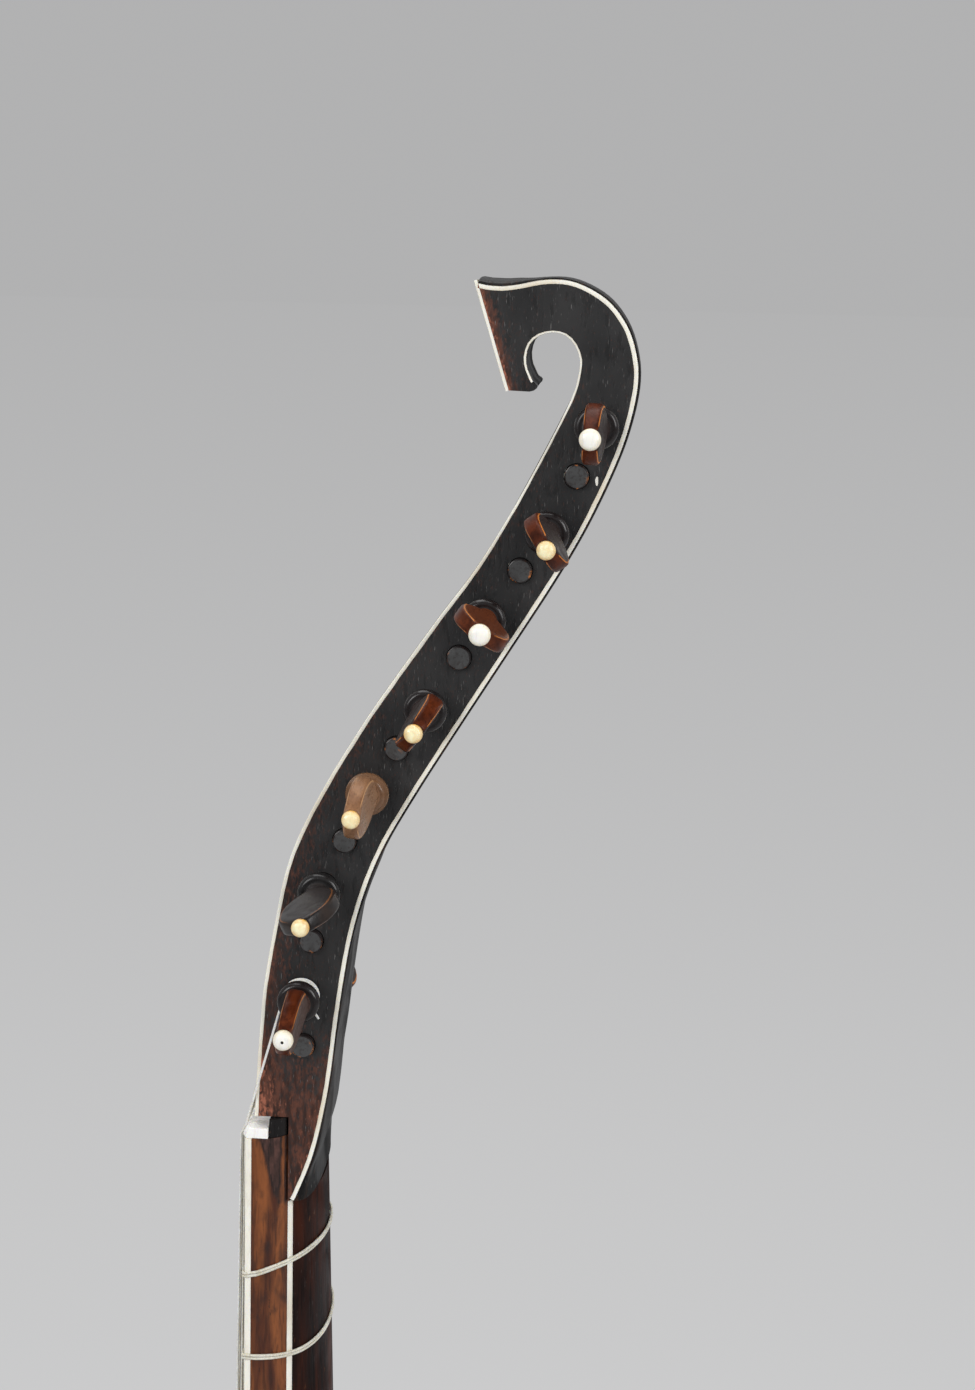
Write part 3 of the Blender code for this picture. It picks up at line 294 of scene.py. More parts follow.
class Shape:
    """Vertices and faces of one piece, with a wear value at each vertex and a tone at each face."""

    def __init__(self) -> None:
        """Start empty."""
        self.points: list[Point] = []
        self.wear: list[float] = []
        self.faces: list[tuple[int, ...]] = []
        self.slots: list[int] = []
        self.tones: list[float] = []

    def add(self, points: list[Point], faces: list[tuple[int, ...]], wear: list[float] | float = 0.0,
            slot: int = 0, tone: float | list[float] = 0.5) -> None:
        """Add points and faces.

        Args:
            points: places in metres.
            faces: corners of each face, counted from the first of these points.
            wear: one value for all the points or one for each.
            slot: material slot of the faces.
            tone: shade of the faces from 0 to 1, one for all or one for each.
        """
        base = len(self.points)
        self.points += points
        self.wear += wear if isinstance(wear, list) else [wear] * len(points)
        self.faces += [tuple(base + k for k in face) for face in faces]
        self.slots += [slot] * len(faces)
        self.tones += tone if isinstance(tone, list) else [tone] * len(faces)

    def lid(self, row: list[Point], first: bool = False, slot: int = 0, tone: float = 0.5) -> None:
        """Close the first or the last row of a skin with one face."""
        order = range(len(row))
        self.add(row, [tuple(reversed(order) if first else order)], 0.0, slot, tone)

    def skin(self, rows: list[list[Point]], wear: list[list[float]] | float = 0.0, slot: int = 0,
             tone: float | list[float] = 0.5, closed: bool = True, caps: bool = True) -> None:
        """Stretch a skin over equal rows of points.

        Args:
            rows: the rows, each a list of places.
            wear: one value, or one for each point of each row.
            slot: material slot.
            tone: one shade, or one for each face round a row.
            closed: whether each row is a loop.
            caps: whether the first and last loops are filled.
        """
        count = len(rows[0])
        faces: list[tuple[int, ...]] = []
        for start in range(0, (len(rows) - 1) * count, count):
            for k in range(count if closed else count - 1):
                after = start + (k + 1) % count
                faces.append((start + k, after, after + count, start + count + k))
        tones = tone * (len(rows) - 1) if isinstance(tone, list) else tone
        if closed and caps:
            last = (len(rows) - 1) * count
            faces += [tuple(reversed(range(count))), tuple(range(last, last + count))]
        self.add([point for row in rows for point in row], faces,
                 [value for row in wear for value in row] if isinstance(wear, list) else wear,
                 slot, tones)

    def wall(self, rings: list[tuple[Line, Put]], rub: Callable[[float, float], float] | None = None,
             slot: int = 0) -> None:
        """Join closed loops of equal length, each given with what places it.

        Args:
            rings: the loops and their placing functions.
            rub: gives the wear at a pair of the last loop.
            slot: material slot.
        """
        wear = [[rub(*p) for p in rings[-1][0]]] * len(rings) if rub else 0.0
        self.skin([[put(*p) for p in loop] for loop, put in rings], wear, slot, caps=False)

    def tube(self, route: list[Point], radius: float, sides: int = 10, closed: bool = False) -> None:
        """A round tube along a route.

        Args:
            route: places in metres.
            radius: radius in millimetres.
            sides: sides of the tube.
            closed: whether the route is a loop.
        """
        spots = [Vector(point) for point in route]
        last = len(spots) - 1
        normal = None
        rows = []
        for k, spot in enumerate(spots):
            before = spots[k - 1] if closed or k > 0 else spot
            after = spots[(k + 1) % len(spots)] if closed or k < last else spot
            run = (after - before).normalized()
            if normal is None:
                normal = run.orthogonal().normalized()
            normal = (normal - run * normal.dot(run)).normalized()
            side = run.cross(normal)
            rows.append([tuple(spot + (normal * u + side * v) * MM)
                         for u, v in around(radius, sides, 0.0)])
        if closed:
            shift = min(range(sides), key=lambda j: (Vector(rows[0][j]) - Vector(rows[-1][0])).length)
            rows.append(rows[0][shift:] + rows[0][:shift])
        self.skin(rows, caps=not closed)

    def plate(self, outline: Line, holes: list[Line], front: Put, back: Put, pitch: float = 0.0,
              slot: int = 0) -> None:
        """A plate between two surfaces.

        Args:
            outline: closed outer loop.
            holes: closed inner loops.
            front: turns a pair into a place on the front.
            back: turns a pair into a place on the back.
            pitch: spacing of extra points on the front, or 0.
            slot: material slot.
        """
        for put, spacing in ((front, pitch), (back, 0.0)):
            flat, faces = triangulate(outline, holes, spacing)
            self.add([put(*p) for p in flat], faces, 0.0, slot)
        for loop in (outline, *holes):
            self.wall([(loop, front), (loop, back)], slot=slot)

    def build(self, name: str, slot: str, *materials: str, node: str = "", body: str = ROOT,
              angle: float = 35.0) -> bpy.types.Object:
        """Make the object, closed and with its faces outward, and settle it.

        Args:
            name: the piece's name.
            slot: material slot of the record; not used.
            materials: names of its finishes, by slot of its faces.
            node: solid that it replaces, if not the one of its own name.
            body: body that it rides on.
            angle: edges sharper than this many degrees stay sharp.

        Returns:
            The new object, at the origin.
        """
        mesh = bpy.data.meshes.new(name)
        mesh.from_pydata(self.points, [], self.faces)
        mesh.attributes.new("wear", "FLOAT", "POINT").data.foreach_set("value", self.wear)
        mesh.attributes.new("tone", "FLOAT", "FACE").data.foreach_set("value", self.tones)
        mesh.polygons.foreach_set("material_index", self.slots)
        clean(mesh, JOIN)
        mesh.set_sharp_from_angle(angle=math.radians(angle))
        for material in materials:
            mesh.materials.append(MATERIALS[material])
        made = show(f"{name}_finished", mesh)
        settle(made, body, node or name)
        return made


# Node trees

class Sketch:
    """Short words for building a node tree."""

    def __init__(self, tree: Tree) -> None:
        """Keep the tree that is drawn in."""
        self.tree = tree

    def put(self, source: Source, target: bpy.types.NodeSocket) -> None:
        """Link a node's first output or a socket to an input, or write a plain value to it.

        Args:
            source: the node, socket or value.
            target: the input.
        """
        if isinstance(source, bpy.types.Node):
            source = source.outputs[0]
        if isinstance(source, bpy.types.NodeSocket):
            self.tree.links.new(source, target)
        elif isinstance(source, tuple) and target.type == "RGBA" and len(source) == 3:
            target.default_value = (*source, 1.0)
        else:
            target.default_value = source

    def node(self, kind: str, inputs: dict[str | int, Source] | None = None,
             **settings: object) -> bpy.types.Node:
        """Add a node.

        Args:
            kind: its type.
            inputs: what goes to its inputs, by name or number.
            settings: its properties.

        Returns:
            The node.
        """
        made = self.tree.nodes.new(kind)
        for key, value in settings.items():
            setattr(made, key, value)
        for key, source in (inputs or {}).items():
            self.put(source, made.inputs[key])
        return made

    def math(self, operation: str, one: Source, two: Source, clamped: bool = False
             ) -> bpy.types.Node:
        """A sum of two values."""
        return self.node("ShaderNodeMath", {0: one, 1: two}, operation=operation, use_clamp=clamped)

    def times(self, one: Source, two: Source) -> bpy.types.Node:
        """A product of two values."""
        return self.math("MULTIPLY", one, two)

    def mix(self, amount: Source, one: Source, two: Source, blend: str = "MIX"
            ) -> bpy.types.NodeSocket:
        """A mix of two colours."""
        return self.node("ShaderNodeMix", {0: amount, 6: one, 7: two}, data_type="RGBA",
                         blend_type=blend).outputs[2]

    def span(self, value: Source, low: Source, high: Source, to_low: Source = 0.0,
             to_high: Source = 1.0) -> bpy.types.Node:
        """A smooth step from one range to another."""
        return self.node("ShaderNodeMapRange", {0: value, 1: low, 2: high, 3: to_low, 4: to_high},
                         interpolation_type="SMOOTHSTEP")

    def noise(self, vector: Source, scale: Source, detail: float = 3.0,
              distortion: float = 0.0) -> bpy.types.Node:
        """A noise texture."""
        return self.node("ShaderNodeTexNoise", {"Vector": vector, "Scale": scale, "Detail": detail,
                                                "Distortion": distortion})

    def scaled(self, vector: Source, factor: Source) -> bpy.types.Node:
        """A vector multiplied by another."""
        return self.node("ShaderNodeVectorMath", {0: vector, 1: factor}, operation="MULTIPLY")

    def spot(self) -> bpy.types.NodeSocket:
        """Place on the object."""
        return self.node("ShaderNodeTexCoord").outputs["Object"]

    def value(self, attribute: str) -> bpy.types.NodeSocket:
        """A value that the mesh carries."""
        return self.node("ShaderNodeAttribute", attribute_name=attribute).outputs["Fac"]

    def group(self, key: str, **values: Source) -> bpy.types.NodeOutputs:
        """Outputs of a shared group, with its inputs given by name and _ for a space."""
        inputs = {name.replace("_", " "): value for name, value in values.items()}
        return self.node("ShaderNodeGroup", inputs, node_tree=GROUPS[key]).outputs


def start_tree(name: str, kind: str, inputs: dict[str, object], outputs: tuple[str, ...]
               ) -> tuple[Tree, Sketch, bpy.types.NodeOutputs, bpy.types.NodeInputs]:
    """Start a node tree with named sockets.

    Args:
        name: the tree's name.
        kind: Shader or Geometry.
        inputs: defaults by name; a word stands for a socket of that kind, without a default.
        outputs: names of the outputs.

    Returns:
        The tree, a sketch of it, what it is given and what it gives out.
    """
    kinds = {float: "Float", int: "Int", tuple: "Vector"}
    tree = bpy.data.node_groups.new(name, f"{kind}NodeTree")
    for key, default in inputs.items():
        word = default if isinstance(default, str) else kinds[type(default)]
        socket = tree.interface.new_socket(key, in_out="INPUT", socket_type=f"NodeSocket{word}")
        if not isinstance(default, str):
            socket.default_value = default
    for key in outputs:
        word = "Float" if kind == "Shader" else "Geometry"
        tree.interface.new_socket(key, in_out="OUTPUT", socket_type=f"NodeSocket{word}")
    s = Sketch(tree)
    return tree, s, s.node("NodeGroupInput").outputs, s.node("NodeGroupOutput").inputs


def grain_group() -> Tree:
    """Wood grain on object coordinates: broad figure, fine pores and a height for bumps.

    Returns:
        The group.
    """
    tree, s, given, out = start_tree(
        "wood_grain", "Shader",
        {"Stretch": (1.0, 1.0, 0.1), "Figure Scale": 90.0, "Pore Scale": 900.0},
        ("Figure", "Fine", "Pores", "Height"))
    run = s.scaled(s.spot(), given["Stretch"])
    broad = s.noise(run, given["Figure Scale"], 5.0, 0.8)
    fine = s.noise(run, given["Pore Scale"], 3.0, 0.2)
    pores = s.span(fine, 0.50, 0.66)
    s.put(s.span(broad, 0.30, 0.70), out["Figure"])
    s.put(s.span(fine, 0.36, 0.60), out["Fine"])
    s.put(pores, out["Pores"])
    s.put(s.math("SUBTRACT", s.times(broad, 0.3), s.times(pores, 0.7)), out["Height"])
    return tree


def wear_group() -> Tree:
    """Patchy wear where the mesh says that it is rubbed, and specks elsewhere.

    Returns:
        The group.
    """
    tree, s, given, out = start_tree(
        "rubbed_places", "Shader",
        {"Patch Scale": 350.0, "Specks": 0.15, "Low": 0.62, "High": 0.92},
        ("Mask", "Bare", "Specks"))
    spot = s.spot()
    run = s.scaled(spot, (1.0, 1.0, 0.45))
    patch = s.noise(run, given["Patch Scale"], 6.0, 0.4)
    amount = s.math("ADD", s.times(s.value("wear"), 0.62), s.times(patch, 0.9))
    s.put(s.span(amount, given["Low"], given["High"]), out["Mask"])
    s.put(s.span(amount, given["High"], s.math("ADD", given["High"], 0.22)), out["Bare"])
    speck = s.noise(run, s.times(given["Patch Scale"], 2.3), 4.0)
    raised = s.math("ADD", speck, s.times(s.noise(spot, 45.0, 2.0), given["Specks"]))
    s.put(s.span(raised, 0.66, 0.78), out["Specks"])
    return tree


def dust_group() -> Tree:
    """Handling marks: a cloudy film and thin scratches.

    Returns:
        The group.
    """
    tree, s, given, out = start_tree("handling", "Shader", {"Film Scale": 60.0},
                                     ("Film", "Scratches"))
    spot = s.spot()
    s.put(s.span(s.noise(spot, given["Film Scale"], 5.0, 0.5), 0.35, 0.72), out["Film"])
    turned = s.node("ShaderNodeMapping", {"Vector": spot, "Rotation": (0.5, 0.2, 0.3),
                                          "Scale": (1.0, 18.0, 1.6)})
    s.put(s.span(s.noise(turned, 260.0, 3.0), 0.66, 0.73), out["Scratches"])
    return tree


GROUPS = {"grain": grain_group(), "wear": wear_group(), "dust": dust_group()}


# Finishes

def start_material(name: str) -> tuple[Material, Sketch, bpy.types.Node]:
    """Start a material.

    Args:
        name: its name.

    Returns:
        The material, the sketch and the shader.
    """
    material = bpy.data.materials.new(name)
    material.use_nodes = True
    return material, Sketch(material.node_tree), material.node_tree.nodes["Principled BSDF"]


def dress(s: Sketch, shader: bpy.types.Node, height: Source, depth: float, strength: float,
          **inputs: Source) -> None:
    """Feed a shader.

    Args:
        s: the material's sketch.
        shader: its Principled shader.
        height: height of the surface.
        depth: distance in metres that the height spans.
        strength: strength of the bump.
        inputs: the shader's other inputs by name, with _ for a space.
    """
    bump = s.node("ShaderNodeBump", {"Strength": strength, "Distance": depth, "Height": height})
    for name, source in {**inputs, "Normal": bump}.items():
        s.put(source, shader.inputs[name.replace("_", " ")])


def shade(colour: Point, factor: float) -> Point:
    """A colour made darker or lighter."""
    return tuple(factor * value for value in colour)


class Grain(Enum):
    """Direction in which a piece's grain runs."""

    UP = (1.0, 1.0, 0.09)
    ACROSS = (0.09, 1.0, 1.0)
    SLANT = (1.0, 0.55, 0.16)
    RINGS = (1.0, 1.0, 0.012)
    BONE = (1.0, 1.0, 0.2)


@dataclass(frozen=True)
class WoodFinish:
    """A wood with figure, pores, rubbed places and handling marks."""

    name: str
    dark: Point
    light: Point
    rubbed: Point
    grain: Grain = Grain.UP
    figure: float = 90.0
    pores: float = 900.0
    pore_depth: float = 0.4
    patch: float = 350.0
    specks: float = 0.0
    rough: float = 0.42
    spread: float = 0.12
    coat: float = 0.0
    scratch: float = 0.25
    tones: float = 0.0
    specular: float = 0.5
    mottle: Pair = (0.62, 0.92)

    def build(self) -> Material:
        """Make the material.

        Returns:
            The material.
        """
        material, s, shader = start_material(self.name)
        grain = s.group("grain", Stretch=self.grain.value, Figure_Scale=self.figure,
                        Pore_Scale=self.pores)
        wear = s.group("wear", Patch_Scale=self.patch, Specks=self.specks, Low=self.mottle[0],
                       High=self.mottle[1])
        dust = s.group("dust")
        base = s.mix(grain["Figure"], self.dark, self.light)
        base = s.mix(s.times(grain["Pores"], self.pore_depth), base, shade(self.dark, 0.35))
        if self.tones > 0.0:
            tone = s.span(s.value("tone"), 0.0, 1.0, 1.0 - self.tones, 1.0 + self.tones)
            grey = s.node("ShaderNodeCombineColor", {0: tone, 1: tone, 2: tone})
            base = s.mix(1.0, base, grey, "MULTIPLY")
        base = s.mix(wear["Specks"], base, shade(self.rubbed, 0.6))
        worn = s.mix(grain["Fine"], shade(self.rubbed, 0.30), self.rubbed)
        worn = s.mix(wear["Bare"], worn, shade(self.rubbed, 3.0))
        base = s.mix(wear["Mask"], base, worn)
        base = s.mix(s.times(dust["Scratches"], self.scratch), base, (0.30, 0.29, 0.28))
        rough = s.span(dust["Film"], 0.0, 1.0, self.rough - self.spread, self.rough + self.spread)
        height = s.math("SUBTRACT", grain["Height"], s.times(wear["Mask"], 0.5))
        dress(s, shader, height, 0.00012, 0.55, Base_Color=base,
              Roughness=s.math("ADD", rough, s.times(wear["Mask"], 0.12), True),
              Specular_IOR_Level=self.specular, Coat_Weight=self.coat, Coat_Roughness=0.18)
        return material


@dataclass(frozen=True)
class PegFinish:
    """Polished peg wood: a black collar and shank, a coloured blade, and rubbed edges that are partly
    painted highlight.
    """

    name: str
    black: Point
    side: Point
    rim: Point
    rim_light: Point
    # edge: colour of rubbed places, partly real wear and partly a painted highlight on the blade's
    # corners
    edge: Point
    rough: float = 0.34
    coat: float = 0.04
    specular: float = 0.07
    tip: Point = (0.058, 0.058, 0.058)

    def build(self) -> Material:
        """Make the material.

        Returns:
            The material.
        """
        material, s, shader = start_material(self.name)
        grain = s.group("grain", Stretch=Grain.ACROSS.value, Figure_Scale=260.0, Pore_Scale=1300.0)
        dust = s.group("dust", Film_Scale=150.0)
        tone = s.value("tone")
        rim = s.mix(grain["Figure"], self.rim, self.rim_light)
        blade = s.mix(s.span(tone, 0.55, 0.90), self.side, rim)
        base = s.mix(s.span(tone, 0.05, 0.45), self.black, blade)
        base = s.mix(s.span(tone, -0.8, -0.2, 1.0, 0.0), base, self.tip)
        base = s.mix(s.times(grain["Pores"], 0.35), base, shade(self.rim, 0.4))
        patch = s.noise(s.spot(), 520.0, 4.0, 0.4)
        amount = s.math("ADD", s.times(s.value("wear"), 0.62), s.times(patch, 0.75))
        worn = s.span(amount, 0.70, 0.94)
        rough = s.span(dust["Film"], 0.0, 1.0, self.rough - 0.06, self.rough + 0.12)
        height = s.math("SUBTRACT", grain["Height"], s.times(worn, 0.3))
        # the edge colour where worn: rubbed wood, and along the blade's corners also a painted
        # highlight
        dress(s, shader, height, 0.00008, 0.2, Base_Color=s.mix(worn, base, self.edge),
              Roughness=s.math("SUBTRACT", rough, s.span(tone, 0.05, 0.45, 0.12, 0.0)),
              Specular_IOR_Level=s.span(tone, 0.05, 0.45, 0.34, self.specular),
              Coat_Weight=self.coat, Coat_Roughness=0.14)
        return material


@dataclass(frozen=True)
class BoneFinish:
    """Bone or ivory with faint lines, stains and a soft shine."""

    name: str
    pale: Point = (0.96, 0.94, 0.85)
    stain: Point = (0.52, 0.36, 0.16)
    stain_amount: float = 0.12
    stain_scale: float = 120.0
    rough: float = 0.34

    def build(self) -> Material:
        """Make the material.

        Returns:
            The material.
        """
        material, s, shader = start_material(self.name)
        grain = s.group("grain", Stretch=Grain.BONE.value, Figure_Scale=240.0, Pore_Scale=1400.0)
        dust = s.group("dust", Film_Scale=self.stain_scale)
        base = s.mix(s.times(grain["Figure"], 0.25), self.pale, shade(self.pale, 0.88))
        cloud = s.times(dust["Film"], self.stain_amount)
        stained = s.math("ADD", cloud, s.times(s.value("wear"), 0.8), True)
        base = s.mix(stained, base, self.stain)
        base = s.mix(s.times(grain["Pores"], 0.10), base, (0.30, 0.20, 0.10))
        dress(s, shader, grain["Height"], 0.00006, 0.4, Base_Color=base,
              Roughness=s.span(dust["Film"], 0.0, 1.0, self.rough - 0.08, self.rough + 0.12),
              Subsurface_Weight=0.12, Subsurface_Radius=(0.0012, 0.0009, 0.0005),
              Subsurface_Scale=1.0)
        return material


@dataclass(frozen=True)
class GutFinish:
    """Twisted gut: pale, a little translucent, with a fine spiral."""

    name: str
    pale: Point
    dark: Point
    rough: float = 0.32

    def build(self) -> Material:
        """Make the material.

        Returns:
            The material.
        """
        material, s, shader = start_material(self.name)
        spot = s.spot()
        twist = s.noise(s.scaled(spot, (1.0, 1.0, 0.6)), 2600.0, 2.0, 0.6)
        cloud = s.noise(spot, 140.0)
        amount = s.math("ADD", s.times(twist, 0.5), s.times(cloud, 0.5))
        dress(s, shader, twist, 0.00005, 0.5,
              Base_Color=s.mix(s.span(amount, 0.35, 0.65), self.dark, self.pale),
              Roughness=s.span(twist, 0.3, 0.7, self.rough - 0.08, self.rough + 0.14),
              Subsurface_Weight=0.25, Subsurface_Radius=(0.0010, 0.0008, 0.0005),
              Subsurface_Scale=1.0)
        return material


PEG_BLACK = (0.014, 0.011, 0.011)
FINISHES = (
    WoodFinish("ebonised_cheek", (0.0135, 0.0135, 0.014), (0.029, 0.028, 0.028),
               (0.104, 0.035, 0.020), Grain.SLANT, figure=110.0, pores=1300.0, pore_depth=0.45,
               patch=1500.0, specks=0.04, rough=0.45, scratch=0.42, specular=0.32,
               mottle=(0.52, 0.94)),
    WoodFinish("dark_back", (0.010, 0.009, 0.009), (0.026, 0.023, 0.022), (0.09, 0.04, 0.02),
               pores=800.0, patch=380.0, specks=0.06, rough=0.52, tones=0.6, specular=0.12),
    WoodFinish("neck_back_wood", (0.007, 0.005, 0.005), (0.046, 0.011, 0.005),
               (0.16, 0.06, 0.025), figure=190.0, pore_depth=0.5, patch=320.0, specks=0.02,
               rough=0.54, spread=0.10, scratch=0.1, specular=0.06),
    WoodFinish("neck_veneer", (0.060, 0.015, 0.006), (0.240, 0.074, 0.021), (0.030, 0.013, 0.010),
               figure=260.0, pores=1300.0, pore_depth=0.50, patch=420.0, spread=0.08, coat=0.04,
               scratch=0.05, specular=0.30, mottle=(0.52, 0.98)),
    WoodFinish("black_fingerboard", (0.016, 0.014, 0.013), (0.034, 0.030, 0.027),
               (0.07, 0.05, 0.035), figure=80.0, pores=1000.0, patch=280.0, specks=0.05, rough=0.38,
               spread=0.10, scratch=0.2),
    WoodFinish("rib_wood", (0.045, 0.010, 0.004), (0.180, 0.050, 0.016), (0.20, 0.07, 0.03),
               figure=130.0, pores=800.0, pore_depth=0.5, patch=200.0, rough=0.24, spread=0.06,
               coat=0.6, scratch=0.08, tones=0.28),
    WoodFinish("soundboard_spruce", (0.400, 0.205, 0.068), (0.610, 0.370, 0.150),
               (0.30, 0.15, 0.05), Grain.RINGS, figure=520.0, pores=1500.0, pore_depth=0.18,
               patch=90.0, spread=0.08, coat=0.15, scratch=0.05),
    WoodFinish("inner_wood", (0.36, 0.20, 0.08), (0.50, 0.31, 0.14), (0.30, 0.16, 0.06),
               figure=200.0, pores=700.0, pore_depth=0.2, patch=90.0, rough=0.7, spread=0.08),
    BoneFinish("bone"),
    BoneFinish("white_bone", (0.96, 0.94, 0.88), (0.84, 0.70, 0.42), 0.08, 260.0, 0.22),
    BoneFinish("yellow_bone", (1.0, 0.92, 0.60), (0.74, 0.36, 0.04), 0.34, 620.0, 0.20),
    BoneFinish("nut_bone", (1.0, 0.99, 0.96), (0.55, 0.50, 0.42), 0.10, 150.0, 0.30),
    GutFinish("gut", (0.74, 0.72, 0.64), (0.52, 0.48, 0.38)),
    GutFinish("white_gut", (0.86, 0.86, 0.83), (0.66, 0.64, 0.60)),
    PegFinish("peg_dark", (0.012, 0.011, 0.011), (0.022, 0.017, 0.016), (0.012, 0.010, 0.010),
              (0.028, 0.018, 0.014), (0.16, 0.060, 0.02), specular=0.22),
    PegFinish("peg_red", PEG_BLACK, (0.034, 0.024, 0.022), (0.032, 0.007, 0.003),
              (0.105, 0.022, 0.007), (0.52, 0.17, 0.035)),
    PegFinish("peg_brown", PEG_BLACK, (0.105, 0.028, 0.010), (0.045, 0.010, 0.004),
              (0.120, 0.028, 0.009), (0.42, 0.14, 0.03)),
    PegFinish("peg_grey_brown", PEG_BLACK, (0.080, 0.048, 0.040), (0.040, 0.008, 0.003),
              (0.125, 0.026, 0.007), (0.42, 0.14, 0.03)),
    PegFinish("peg_tan", (0.170, 0.085, 0.042), (0.260, 0.140, 0.078), (0.190, 0.090, 0.045),
              (0.330, 0.175, 0.090), (0.46, 0.25, 0.12), rough=0.30, coat=0.10))
MATERIALS = {finish.name: finish.build() for finish in FINISHES}


# Repeated pieces

def end_tree(s: Sketch, geometry: bpy.types.Node, given: bpy.types.NodeOutputs,
             out: bpy.types.NodeInputs) -> None:
    """End a geometry tree with real instances of one material.

    Args:
        s: the tree's sketch.
        geometry: the node that gives the geometry.
        given: what the tree is given.
        out: what it gives out.
    """
    real = s.node("GeometryNodeRealizeInstances", {"Geometry": geometry})
    paint = s.node("GeometryNodeSetMaterial", {"Geometry": real, "Material": given["Material"]})
    s.put(paint, out["Geometry"])


def coil_tree() -> Tree:
    """A tree that winds a round strand about the X axis.

    Returns:
        The tree.
    """
    tree, s, given, out = start_tree(
        "string_coil", "Geometry",
        {"Geometry": "Geometry", "Turns": 3.0, "Radius": 0.0043, "Length": 0.002, "Strand": 0.0003,
         "Start Angle": 0.0, "Centre": (0.0, 0.0, 0.0), "Material": "Material"}, ("Geometry",))
    spiral = s.node("GeometryNodeCurveSpiral", {
        "Resolution": 40, "Rotations": given["Turns"], "Start Radius": given["Radius"],
        "End Radius": given["Radius"], "Height": given["Length"]})
    strand = s.node("GeometryNodeCurvePrimitiveCircle",
                    {"Resolution": 10, "Radius": given["Strand"]})
    tube = s.node("GeometryNodeCurveToMesh",
                  {"Curve": spiral, "Profile Curve": strand, "Fill Caps": True})
    spin = s.node("ShaderNodeCombineXYZ", {2: given["Start Angle"]})
    turn = s.node("GeometryNodeTransform", {"Geometry": tube, "Rotation": spin})
    lay = s.node("GeometryNodeTransform", {"Geometry": turn, "Rotation": (0.0, math.pi / 2, 0.0)})
    move = s.node("GeometryNodeTransform", {"Geometry": lay, "Translation": given["Centre"]})
    end_tree(s, move, given, out)
    return tree


def bead_ring_tree() -> Tree:
    """A tree that sets carved beads in a ring that faces the front.

    Returns:
        The tree.
    """
    tree, s, given, out = start_tree(
        "bead_ring", "Geometry",
        {"Geometry": "Geometry", "Count": 24, "Ring Radius": 0.03, "Bead Length": 0.002,
         "Bead Width": 0.001, "Centre": (0.0, 0.0, 0.0), "Material": "Material"}, ("Geometry",))
    loop = s.node("GeometryNodeCurvePrimitiveCircle",
                  {"Resolution": given["Count"], "Radius": given["Ring Radius"]})
    spots = s.node("GeometryNodeCurveToPoints", {"Curve": loop}, mode="EVALUATED")
    bead = s.node("GeometryNodeMeshUVSphere", {"Segments": 10, "Rings": 6, "Radius": 1.0})
    size = s.node("ShaderNodeCombineXYZ", {0: given["Bead Width"], 1: given["Bead Width"],
                                           2: given["Bead Length"]})
    lay = s.node("GeometryNodeInstanceOnPoints", {
        "Points": spots, "Instance": bead, "Rotation": spots.outputs["Rotation"], "Scale": size})
    stand = s.node("GeometryNodeTransform", {
        "Geometry": lay, "Rotation": (math.pi / 2, 0.0, 0.0), "Translation": given["Centre"]})
    end_tree(s, stand, given, out)
    return tree


def bake_nodes(name: str, tree: Tree, values: dict[str, object], material: str) -> bpy.types.Object:
    """Run a geometry tree once and keep its plain mesh.

    Args:
        name: name of the new piece.
        tree: the geometry tree.
        values: its inputs by name.
        material: name of the piece's finish.

    Returns:
        The new object, at the origin.
    """
    carrier = show(f"{name}_carrier", bpy.data.meshes.new(f"{name}_carrier"))
    step = carrier.modifiers.new("Build", "NODES")
    step.node_group = tree
    sockets = {item.name: item.identifier for item in tree.interface.items_tree
               if item.in_out == "INPUT"}
    for key, value in {**values, "Material": MATERIALS[material]}.items():
        step[sockets[key]] = value
    graph = bpy.context.evaluated_depsgraph_get()
    mesh = bpy.data.meshes.new_from_object(carrier.evaluated_get(graph), depsgraph=graph)
    bpy.data.objects.remove(carrier, do_unlink=True)
    mesh.name = name
    clean(mesh, FINE_JOIN)
    return show(name, mesh)


# Pegbox

